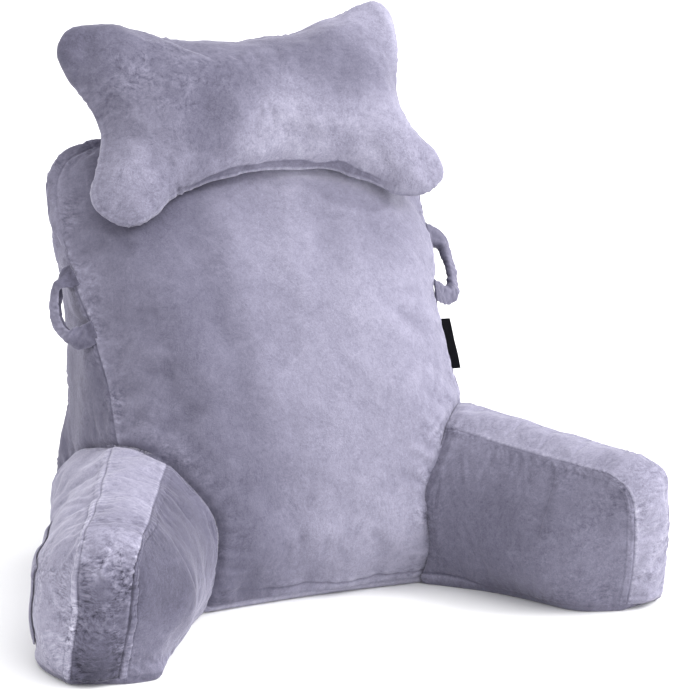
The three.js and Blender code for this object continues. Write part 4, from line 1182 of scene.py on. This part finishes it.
def make_backrest(junctions):
    sh, v, q, seams, F = build_backrest(140, 180, 50)
    v0 = v.copy()
    nrm = normals(v, q)
    puff = settled(v, coarse_cover(build_backrest(56, 74, 10)), [*seams.values(), *junctions], 3.5)
    h = np.zeros(len(v))
    # crease: painted shade along the seams, the arms' joints and the base hem
    crease = np.zeros(len(v))
    for i, (key, kw) in enumerate((
        ("front", dict(groove=1.2, roll=0.9, pucker=0.8)),
        ("rear", dict(groove=1.3, roll=0.9, pucker=0.7)),
        ("base", dict(groove=1.0, roll=0.5, pucker=0.35)),
    )):
        hh, g, d, s = seam_relief(v, seams[key], 11 + i, **kw)
        # the front seam flattens out and sinks into the pile round the fuller top corner
        flatter = 1 - 0.78 * soft((v[:, 2] - 350) / 70) * soft((40 - v[:, 0]) / 60) * (key == "front")
        if key == "front":
            flatter = flatter * (1 - 0.35 * soft(-v[:, 0] / 60) * soft((300 - v[:, 2]) / 60))
        h += hh * flatter
        crease = np.maximum(crease, (0.4, 0.6, 0.45)[i] * g * flatter ** 2)
        if key == "front":
            side = np.where(v[:, 0] < 0, 1.0, 0.45) * soft((v[:, 2] - 20) / 60)
            # painted highlight beside the front seam
            glow = (0.08 + 0.16 * side) * np.exp(-(((d - 3.2) / 2.4) ** 2)) * (1 + 0.9 * along_waves(311, s, 6, 20))
            d_front = d
            glow = glow * flatter
            h += 0.7 * side * flatter * along_waves(313, s, 9, 19) * np.exp(-d / 16) * (1 - np.exp(-((d / 5.0) ** 2)))
    # the arms are sewn on along these lines: the back is pulled in there and gathers round them
    d_joint = np.full(len(v), 1e3)
    for i, line in enumerate(junctions):
        d, s = near_line(v, line)
        d_joint = np.minimum(d_joint, d)
        h += -(1.8, 1.0)[i] * np.exp(-((d / 5.0) ** 2)) + 0.9 * np.exp(-(((d - 15) / 8) ** 2))
        h += 0.9 * along_waves(31 + i, s, 10, 26) * np.exp(-d / 24) * (1 - np.exp(-((d / 9.0) ** 2)))
        crease = np.maximum(crease, (0.35, 0.15)[i] * np.exp(-((d / 2.2) ** 2)))
    above = soft((v[:, 2] - 2) / 14)
    h += (1.5 * Waves(3, 95)(v) + 0.30 * Waves(4, 38)(v) + 0.10 * Waves(5, 15)(v)) * above
    fold = np.zeros(len(v))
    for pts, w, dep in BACK_FOLDS:
        fold += stroke(v, nrm, pts, w, dep)
    h += fold
    # the base panel turns up in front and is sewn on along this line
    rise_at = np.interp(v[:, 0], *HEM_BACK)
    near = v[:, 2] - rise_at
    facing = (nrm[:, 1] < -0.5) & (v[:, 1] < 200)
    shown = soft((v[:, 0] + 110) / 70) * facing
    h -= 1.3 * np.exp(-((near / 1.7) ** 2)) * shown
    h += 0.8 * np.exp(-(((near - 5) / 3.0) ** 2)) * shown * (1 + 0.5 * along_waves(315, v[:, 0], 9, 24))
    crease = np.maximum(crease, 0.6 * np.exp(-((near / 1.5) ** 2)) * shown)
    nrm = normals(v + puff, q)
    v = v + puff + nrm * (h * soft((v[:, 2] + 1) / 9))[:, None]
    v[:, 2] = np.maximum(v[:, 2], 0.0)
    h = h + 0.8 * (puff * nrm).sum(1)
    # pile tone of the front panel by its share of the half width, with painted shade on the -X side and painted light
    # on the +X side
    tone = np.full(len(v), 0.92)
    front = np.unique(np.concatenate(sh.tags["front"]))
    half = back_at(np.clip(np.interp(v0[front, 2], BACK_Z, BACK_V), 0, 1))["xF"]
    tone[front] = np.interp(v0[front, 0] / half, *BACK_NAP_AND_SHADE)
    # lighter low down on the +X side; painted shade high up under the neck pillow on the +X side
    tone *= 1 + 0.07 * soft((v0[:, 0] - 10) / 60) * soft((170 - v0[:, 2]) / 90) * (1 - soft((40 - v0[:, 2]) / 40))
    tone *= 1 - 0.18 * soft((v0[:, 0] - 40) / 50) * soft((v0[:, 2] - 350) / 50)
    # painted shadow cast by the neck pillow on the back, above its edge line
    edge = v0[:, 2] - np.interp(v0[:, 0], *PILLOW_SHADOW_EDGE) + 1.6 * Waves(317, 26)(v0)
    pillow_shadow = 1 - 0.20 * soft((edge + 1.2) / 2.4) * soft((184 - v0[:, 0]) / 3) * soft((v0[:, 0] + 60) / 60) * (nrm[:, 1] < -0.2)
    # painted highlight on the raised folds, painted shade in the sunk ones
    tone *= 1 + 0.10 * np.clip(fold, -1, 2.0)
    # painted light just under the neck pillow's edge, lifting the rendered shade there on the +X side; on the -X side
    # it is painted shade under the pillow
    gap = np.full(len(v), 99.0)
    for i in np.nonzero((v[:, 2] > 370) & (nrm[:, 1] < -0.2))[0]:
        hit = NECK_BVH.find_nearest(Vector(v[i]), 60.0)
        if hit[0] is not None:
            gap[i] = hit[3]
    tone *= 1 + np.interp(v0[:, 0], [-140, -60, -20, 20, 60, 172, 186], [-0.3, -0.3, 0.3, 1.3, 2.5, 2.7, 4.6]) * np.exp(-gap / 8.5)
    tone *= 1 + 0.08 * np.exp(-(((v0[:, 0] - 15) / 65) ** 2)) * soft((190 - v0[:, 2]) / 70) * (nrm[:, 1] < -0.2)
    # painted shade below the neck pillow on the -X side
    tone *= 1 - 0.14 * np.exp(-gap / 32) * soft(-v0[:, 0] / 40)
    strip = np.unique(np.concatenate(sh.tags["strip"]))
    tone[strip] *= 0.63 + 0.35 * soft((v0[strip, 2] - 265) / 160)
    tone *= 1 + 0.10 * shown * soft((-near - 1) / 2)
    base = np.unique(np.concatenate(sh.tags["base"]))
    tone[base] = 1.55
    tone = smooth_field(tone, q, len(v), 1) * pillow_shadow * (1 + glow) * relief_shading(h, q, len(v), 0.14)
    crush = 0.10 + 0.55 * np.where(v0[:, 0] < 0, np.exp(-((d_front / 26) ** 2)), 0.25 * np.exp(-((d_front / 18) ** 2))) + 0.45 * np.exp(-(d_joint / 26) ** 2)
    crush[strip] = 0.40
    crush *= np.clip(0.6 + 0.5 * Waves(319, 50)(v0), 0, 1.2)
    return v, q, seams, crease, v0, sh, tone, crush


BACK_Z, BACK_V = [r[3] for r in BACK], [r[0] for r in BACK]
# soft folds that run down from the +X side into the corner beside the arm, and short ones over the other arm
BACK_FOLDS = [
    ([(192, 118, 204), (165, 93, 190), (145, 79, 178), (121, 66, 161)], 3.2, 0.9),
    ([(190, 126, 216), (158, 92, 196), (135, 78, 180), (112, 66, 158)], 3.0, 0.6),
    ([(200, 150, 240), (172, 112, 215), (150, 90, 196), (130, 76, 180)], 4.0, 0.5),
    ([(205, 170, 262), (184, 138, 240), (164, 112, 222)], 6.0, -0.6),
    ([(140, 64, 150), (133, 56, 116), (130, 50, 84)], 4.0, 0.4),
    ([(127, 48, 50), (120, 51, 32)], 3.0, 0.9),
    ([(170, 150, 262), (140, 120, 240), (112, 98, 224)], 8.0, 0.8),
    ([(-196, 190, 300), (-188, 186, 286), (-184, 180, 268)], 5.0, 1.0),
    ([(-214, 205, 300), (-200, 203, 304), (-184, 200, 312)], 4.5, 1.1),
    ([(-214, 222, 326), (-200, 216, 322), (-186, 208, 320)], 4.5, 1.0),
    ([(-150, 110, 216), (-128, 92, 196), (-104, 76, 170)], 7.0, 0.8),
]
# height of the base panel's front seam along x, and the lower edge of the neck pillow's painted shadow on the back
HEM_BACK = ([-120, -67, 12, 103, 140], [24, 22, 19.5, 19, 17])
PILLOW_SHADOW_EDGE = ([-40, 33, 59, 104, 133, 146, 162, 173, 179, 183], [461, 454, 450, 428, 420, 416.5, 415.5, 419, 428, 444])
junctions = []
_, v0, q0, seams0, _ = build_backrest(110, 150, 16)
bvh = BVHTree.FromPolygons(v0.tolist(), q0.tolist())
nv0, nq0 = build_neck(120, 24)[:2]
NECK_BVH = BVHTree.FromPolygons(nv0.tolist(), [f[:3] if f[2] == f[-1] else f for f in nq0.tolist()])
ARM_SHELLS, ARM_COARSE, ARM_MOVE = {}, {}, {}
HEM_ARM = ([130, 150, 167, 196, 215], [16, 17.5, 17, 9, 4])
# line, half width and height of each fold
ARM_FOLDS = {
    "left": [
        ([(-317, 90, 145), (-311, 49, 168), (-304, 9, 186)], 4.0, 1.0),
        ([(-336, 44, 148), (-330, 2, 169), (-326, -44, 188)], 4.0, 1.1),
        ([(-355, -29, 162), (-346, -51, 175), (-341, -78, 188)], 3.5, 1.1),
        ([(-370, -54, 156), (-363, -70, 167), (-359, -82, 174)], 3.5, 1.0),
        ([(-382, -61, 142), (-373, -55, 153), (-364, -67, 165)], 3.5, 0.9),
        ([(-389, -66, 126), (-388, -84, 114), (-385, -96, 100)], 4.0, 0.8),
        ([(-353, -143, 117), (-345, -147, 129), (-332, -151, 136)], 3.5, 0.9),
        ([(-351, -136, 65), (-339, -141, 73), (-325, -144, 79)], 4.0, 0.7),
        ([(-287, -130, 152), (-265, -102, 158), (-238, -64, 154)], 5.0, 0.4),
        ([(-228, -101, 85), (-193, -40, 72), (-151, 40, 39)], 6.0, -0.4),
        ([(-275, 235, 100), (-306, 145, 127), (-321, 108, 131), (-345, 60, 128)], 13.0, 3.0),
    ],
    "right": [
        ([(185, 58, 170), (180, 34, 152), (173, 14, 128)], 3.0, 0.8),
        ([(174, 63, 164), (166, 40, 143), (160, 21, 115)], 2.6, 0.4),
        ([(163, 70, 159), (157, 51, 141), (150, 35, 117)], 2.6, 0.5),
        ([(326, -148, 100), (343, -146, 106), (364, -135, 108)], 3.0, -1.2),
        ([(316, -152, 133), (335, -151, 137), (356, -143, 140)], 3.5, 0.8),
        ([(323, -144, 79), (337, -143, 83), (352, -139, 85)], 4.0, 0.6),
        ([(326, -151, 154), (338, -149, 156), (349, -144, 159)], 3.5, 0.8),
        ([(331, -139, 58), (338, -141, 73), (345, -143, 89)], 4.0, 0.6),
    ],
}
for name, mirror, more in (("left", True, FULLER), ("right", False, EVEN)):
    ARM_SHELLS[name] = build_arm(mirror, more, bvh, 190, 96, 36, gap=0.4)
    ARM_COARSE[name] = build_arm(mirror, more, bvh, 66, 28, 12, gap=0.4)
    junctions.append(ARM_SHELLS[name][3]["joint"])

# backrest
v, q, seams, crease, flat, sh, tone, crush = make_backrest(junctions)
ob_back = to_object("cushion_back", v, q, {"pan": flat * MM, "tone": tone, "crease": crease, "crush": crush})
ob_back.data.materials.append(MATS["back"])
back_bvh = BVHTree.FromPolygons(v.tolist(), q.tolist())

pieces = {"cushion_back": ob_back}

# arms
for k, name in enumerate(("left", "right")):
    sh, v, q, seams, ids = ARM_SHELLS[name]
    check_winding("arm_" + name, v, q)
    flat = v.copy()
    nrm = normals(v, q)
    h = np.zeros(len(v))
    # crease: painted shade along the seams and the joint with the back
    crease = np.zeros(len(v))
    light = np.zeros(len(v))
    d_seam = np.full(len(v), 1e3)
    for i, (key, tag) in enumerate((("I", "inner"), ("O", "outer"))):
        panel = np.zeros(len(v), bool)
        panel[np.unique(np.concatenate(sh.tags[tag]))] = True
        pull = 1.0 if name == "left" else (0.35, 0.25)[i]
        least, most = (0.30, 0.70) if name == "left" else (0.10, 0.62)
        hh, shade, glow, d, s = felled_relief(v, seams[key], 71 + 10 * k + i, panel, lambda t: least + most * soft((t - 0.30) / 0.22), pull)
        d_seam = np.minimum(d_seam, d)
        h += hh
        crease = np.maximum(crease, shade)
        light += glow
        if key == "O" and name == "right":
            light -= 0.42 * np.exp(-((d / 1.7) ** 2))
        if key == "I":
            s_in, d_inner = s, d
    hh, g, d, s = seam_relief(v, seams["base"], 77 + 10 * k, groove=0.5, roll=0.4, pucker=0.35)
    h += hh
    crease = np.maximum(crease, 0.18 * g)
    dj, sj = near_line(v, seams["joint"])
    inner = np.zeros(len(v), bool)
    inner[np.unique(np.concatenate(sh.tags["inner"]))] = True
    h += -(2.6, 1.2)[k] * np.exp(-((dj / 4.0) ** 2)) + 0.9 * np.exp(-(((dj - 14) / 8) ** 2)) + 0.7 * along_waves(91 + k, sj, 12, 30) * np.exp(-dj / 20) * (1 - np.exp(-((dj / 9.0) ** 2)))
    pleat = gathers(dj, sj, 191 + k, 7.0, 13.0, 1.35, np.where(inner, 1.0, 0.3))
    h += pleat * (1.0, 0.35)[k]
    crease = np.maximum(crease, (0.4, 0.2)[k] * np.exp(-((dj / 2.4) ** 2)))
    crease[~inner & (k == 1)] *= 0.5
    above = soft((v[:, 2] - 2) / 14)
    h += ((1.3, 0.6)[k] * Waves(13 + k, 80)(v) + 0.30 * Waves(15 + k, 32)(v) + 0.10 * Waves(17 + k, 14)(v)) * above
    # the gusset crinkles across its width, most where it turns down over the front end
    strip = np.zeros(len(v), bool)
    for tag in ("gusset", "nose"):
        strip[np.unique(np.concatenate(sh.tags[tag]))] = True
    turn = seams["I"][1][-1] - 180.0
    bend = np.exp(-(((s_in - turn) / 60.0) ** 2)) + 0.6 * soft((s_in - turn) / 40)
    warp = s_in + 5.0 * Waves(201 + k, 60)(v) + 1.5 * Waves(203 + k, 22)(v)
    crinkle = along_waves(205 + k, warp, 6, 15, 10) * (0.55 + 0.45 * Waves(207 + k, 34)(v))
    h += np.where(strip, (0.55 if name == "left" else 0.5) * bend * crinkle, 0) * above
    # finer, sharper crinkles where the pile turns from light to dark
    low = soft((190 - flat[:, 2]) / 40) * soft((flat[:, 2] - 60) / 60)
    sharp = 1 - 2 * np.abs(Waves(241 + k, 11, squash=(1.8, 1.8, 0.8))(flat)).clip(0, 1)
    h += np.where(strip, (0.12 if name == "left" else 0.2) * low * sharp, 0)
    outer = np.zeros(len(v), bool)
    outer[np.unique(np.concatenate(sh.tags["outer"]))] = True
    for pts, w, dep in ARM_FOLDS[name]:
        h += stroke(v, nrm, pts, w, dep)
    if name == "right":
        near = v[:, 2] - np.interp(v[:, 0], *HEM_ARM)
        shown = soft((200 - v[:, 0]) / 25) * inner
        h -= 1.3 * np.exp(-((near / 1.7) ** 2)) * shown
        crease = np.maximum(crease, 0.6 * np.exp(-((near / 1.5) ** 2)) * shown)
        light += 0.45 * shown * soft((-near - 1) / 2)
    h = smooth_field(h, q, len(v), 1)
    hold = np.ones(len(v))
    hold[np.unique(ids["cap"])] = 0
    puff = settled(v, coarse_cover(ARM_COARSE[name]), list(seams.values()), 3.0, pull=4.0) * (hold * soft((dj - 4) / 14))[:, None]
    nrm = normals(v + puff, q)
    v = v + puff + nrm * (h * soft((v[:, 2] + 1) / 9) * hold)[:, None]
    v[:, 2] = np.maximum(v[:, 2], 0.0)
    ARM_MOVE[name] = (flat, v)
    h = h + 0.8 * (puff * nrm).sum(1)
    d = np.hypot(flat[:, 0] * (-1 if name == "left" else 1) - ARM_X, flat[:, 1] - ARM_Y)
    fa = ((flat[:, 0] * (-1 if name == "left" else 1) - ARM_X) * AX[0] + (flat[:, 1] - ARM_Y) * AX[1]) / 300
    if name == "left":
        crush = 0.18 + np.where(strip, 0.34 * low + 0.50 * soft((fa - 0.72) / 0.2), 0) + 0.62 * outer * soft((0.95 - flat[:, 2] / 190) / 0.3) * soft((fa - 0.42) / 0.25) + 0.5 * np.exp(-((d_seam / 13) ** 2)) * soft((fa - 0.35) / 0.2) + 0.5 * np.exp(-((dj / 16) ** 2))
    else:
        crush = 0.14 + 0.26 * np.where(strip, soft((fa - 0.8) / 0.2), 0) + 0.3 * np.exp(-((d_seam / 9) ** 2)) + 0.3 * np.exp(-((dj / 16) ** 2)) + 0.22 * inner * soft((fa - 0.45) / 0.3)
    crush *= np.clip(0.7 + 0.45 * Waves(251 + k, 40)(flat), 0, 1.2)
    light += 0.35 * soft((3.2 - flat[:, 2]) / 1.6)
    if name == "left":            # the nap runs across the top of the inner seam in ragged tufts
        rag = 5.5 + 4.5 * along_waves(261, s_in, 9, 30)
        upper = soft((0.60 - fa) / 0.12)
        light += upper * np.where(strip, -0.24, 0.0) * np.exp(-np.clip(d_inner, 0, None) / np.clip(rag, 1.5, 14)) + upper * np.where(inner, 0.30, 0.0) * np.exp(-d_inner / np.clip(0.7 * rag + 2, 1.5, 12))
    tone = smooth_field(arm_nap_and_light(name, len(v), sh.tags, fa, flat[:, 2] / 190, 0.045 * Waves(231, 30)(flat) + 0.03 * Waves(232, 11)(flat)), q, len(v), 1) * (1 + light) * relief_shading(h, q, len(v), 0.17 if name == "left" else 0.12)
    ob = to_object("cushion_arm_" + name, v, q, {"pan": flat * MM, "tone": tone, "crease": crease, "crush": crush})
    ob.data.materials.append(MATS["arm"])
    pieces["cushion_arm_" + name] = ob

# neck pillow
v, q, rim, nids, nflat, nface = build_neck(300, 64)
q = outward(v, q)
check_winding("neck", v, q)
nrm = normals(v, q)
hh, g, d, s = seam_relief(v, rim, 131, groove=0.7, wide=1.0, roll=0.5, pucker=0.8, reach=11)
h = hh + 1.2 * Waves(23, 85)(v) + 0.30 * Waves(24, 32)(v) + 0.10 * Waves(25, 14)(v)
# the front panel curls under along the hollow lower edge and its seam stands out below as a thin lip
facing = (nrm @ nface) > -0.15
hollow = soft((150 - np.abs(nflat[:, 0] - 15)) / 45) * soft((-35 - nflat[:, 1]) / 15) * facing
lower = soft((20 - nflat[:, 1]) / 40) * soft((190 - nflat[:, 0]) / 60) * facing
under = soft((d - 1.6) / 1.6) * soft((13.5 + 2.2 * Waves(135, 60)(v) - d) / 3.0)
h -= 1.6 * under * hollow
h += 1.2 * np.exp(-((d / 2.4) ** 2)) * hollow
neck_tone = spread_points(nflat, *NECK_NAP, 42.0)
# painted shade in the under-curl along the hollow lower edge
neck_tone *= 1 - 0.38 * under * hollow
side_lobe = soft((-95 - nflat[:, 0]) / 25) * soft((30 - nflat[:, 1]) / 30) * facing
# painted highlight and painted shade beside the seam round the left end
neck_tone *= 1 + side_lobe * (0.08 * np.exp(-(((d - 7.0) / 1.6) ** 2)) - 0.07 * np.exp(-(((d - 10.5) / 1.8) ** 2)))
h += side_lobe * (0.35 * np.exp(-(((d - 6.5) / 2.2) ** 2)) - 0.35 * np.exp(-(((d - 10.5) / 1.8) ** 2)))
h += side_lobe * 0.7 * along_waves(137, s, 6, 13) * np.exp(-d / 18)
neck_crush = 0.5 * soft(1.4 - np.hypot((nflat[:, 0] + 115) / 85, (nflat[:, 1] - 45) / 62)) + 0.35 * soft(1.2 - np.hypot((nflat[:, 0] + 160) / 50, (nflat[:, 1] + 95) / 40)) + 0.35 * soft(1.2 - np.hypot((nflat[:, 0] - 205) / 45, (nflat[:, 1] + 90) / 45)) + 0.12
neck_crush *= np.clip(0.65 + 0.5 * Waves(139, 45)(v), 0, 1.2) * np.where(facing, 1.0, 0.2)
# painted highlight on the seam's lip, strongest along the lower edges
neck_tone *= 1 + (0.06 + 0.16 * lower) * np.exp(-(((d - 0.4) / 1.3) ** 2)) * (1 + 0.5 * along_waves(133, s, 6, 16))
# painted sheen highlight down the top-right lobe's right edge
neck_tone *= 1 + 0.30 * np.exp(-(((nflat[:, 0] - 206) / 9) ** 2)) * soft((nflat[:, 1] - 20) / 40) * facing
neck_tone *= relief_shading(h, q, len(v), 0.16)
puff = settled(v, coarse_cover(build_neck(150, 30)), [rim], 3.5)
nrm = normals(v + puff, q)
v = v + puff + nrm * h[:, None]
for _ in range(2):                    # rest against the backrest
    for i in range(len(v)):
        loc, n, _, dist = back_bvh.find_nearest(Vector(v[i]), 90.0)
        if loc is not None:
            sd = (Vector(v[i]) - loc).dot(n)
            if sd < 0.8:
                v[i] += np.array(n) * (0.8 - sd)
ob = to_object("neck_cushion", v, q, {"pan": np.c_[nflat, 0 * nflat[:, :1]] * MM, "tone": neck_tone, "crush": neck_crush, "crease": 0.3 * g * (1 - lower)})
ob.data.materials.append(MATS["neck"])
pieces["neck_cushion"] = ob

# handles, label, pocket
for name in ("left", "right"):
    v, q, uv, strap_len, strap_tone = build_handle(name)
    check_winding("handle_" + name, v, q)
    ob = to_object("strap_" + name, v, q, {"pan": uv * MM, "tone": strap_tone, "crease": np.zeros(len(v))})
    ob.data.materials.append(MATS["strap"])
    pieces["strap_" + name] = ob
v, q, uv = build_label(bvh)
check_winding("label", v, q)
ob = to_object("side_tab", v, q, {"pan": uv * MM})
ob.data.materials.append(MATS["ribbon"])
pieces["side_tab"] = ob
v, q, uv = build_pocket()
check_winding("pocket", v, q)
# the pocket is sewn to the arm's side, so it goes where the side has moved
was, now = ARM_MOVE["left"]
tree = KDTree(len(was))
for i, p in enumerate(was):
    tree.insert(Vector(p), i)
tree.balance()
for i in range(len(v)):
    k = [j for _, j, _ in tree.find_n(Vector(v[i]), 24)]
    v[i] += (now[k] - was[k]).mean(0)
ob = to_object("side_pocket", v, q, {"pan": uv * MM, "tone": np.ones(len(v)), "crease": np.zeros(len(v))})
ob.data.materials.append(MATS["pocket"])
pieces["side_pocket"] = ob

NODE_OF = {
    "cushion_back": "backrest", "cushion_arm_left": "arm_left", "cushion_arm_right": "arm_right", "neck_cushion": "neck_pillow",
    "strap_left": "handle_left", "strap_right": "handle_right", "side_tab": "label", "side_pocket": "pocket_left",
}
for name, ob in pieces.items():
    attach(ob, "root")
    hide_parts(NODE_OF[name])

# ------------------------------------------------------------------ floor and light
me = bpy.data.meshes.new("floor")
me.from_pydata([(-6, -6, 0), (6, -6, 0), (6, 6, 0), (-6, 6, 0)], [], [(0, 1, 2, 3)])
floor = bpy.data.objects.new("floor", me)
scene.collection.objects.link(floor)
fm = bpy.data.materials.new("studio_paper")
fm.use_nodes = True
fb = fm.node_tree.nodes["Principled BSDF"]
fb.inputs["Base Color"].default_value = (0.86, 0.86, 0.86, 1)
fb.inputs["Roughness"].default_value = 0.9
fb.inputs["Specular IOR Level"].default_value = 0.1
me.materials.append(fm)

world = bpy.data.worlds.new("studio")
scene.world = world
world.use_nodes = True
wn = world.node_tree
bg = wn.nodes["Background"]


def sky_lobe(direction, power, gain):
    """A broad soft light from one side of the room, as a share of the sky's brightness."""
    co = node(wn, "ShaderNodeTexCoord").outputs["Generated"]
    dot = node(wn, "ShaderNodeVectorMath", operation="DOT_PRODUCT")
    wn.links.new(co, dot.inputs[0])
    dot.inputs[1].default_value = tuple(Vector(direction).normalized())
    f = math_node(wn, "MULTIPLY_ADD", dot.outputs["Value"], 0.5, 0.5, clamp=True)
    return math_node(wn, "MULTIPLY", math_node(wn, "POWER", f, power), gain)


sky = math_node(wn, "ADD", sky_lobe(KEY_DIR, 4.0, 3.3), sky_lobe((-0.75, 0.6, 0.35), 8.0, 2.0))
sky = math_node(wn, "ADD", sky, 0.28)
wn.links.new(sky, bg.inputs["Strength"])
bg.inputs["Color"].default_value = (0.99, 0.99, 1.0, 1)


sun = bpy.data.lights.new("key", "SUN")
sun.energy, sun.angle = 1.8, math.radians(24)
sun_ob = bpy.data.objects.new("key", sun)
sun_ob.rotation_euler = (-Vector(KEY_DIR)).to_track_quat("-Z", "Y").to_euler()
scene.collection.objects.link(sun_ob)

scene.view_settings.view_transform = "Standard"
scene.view_settings.look = "None"
scene.view_settings.exposure = 0.0
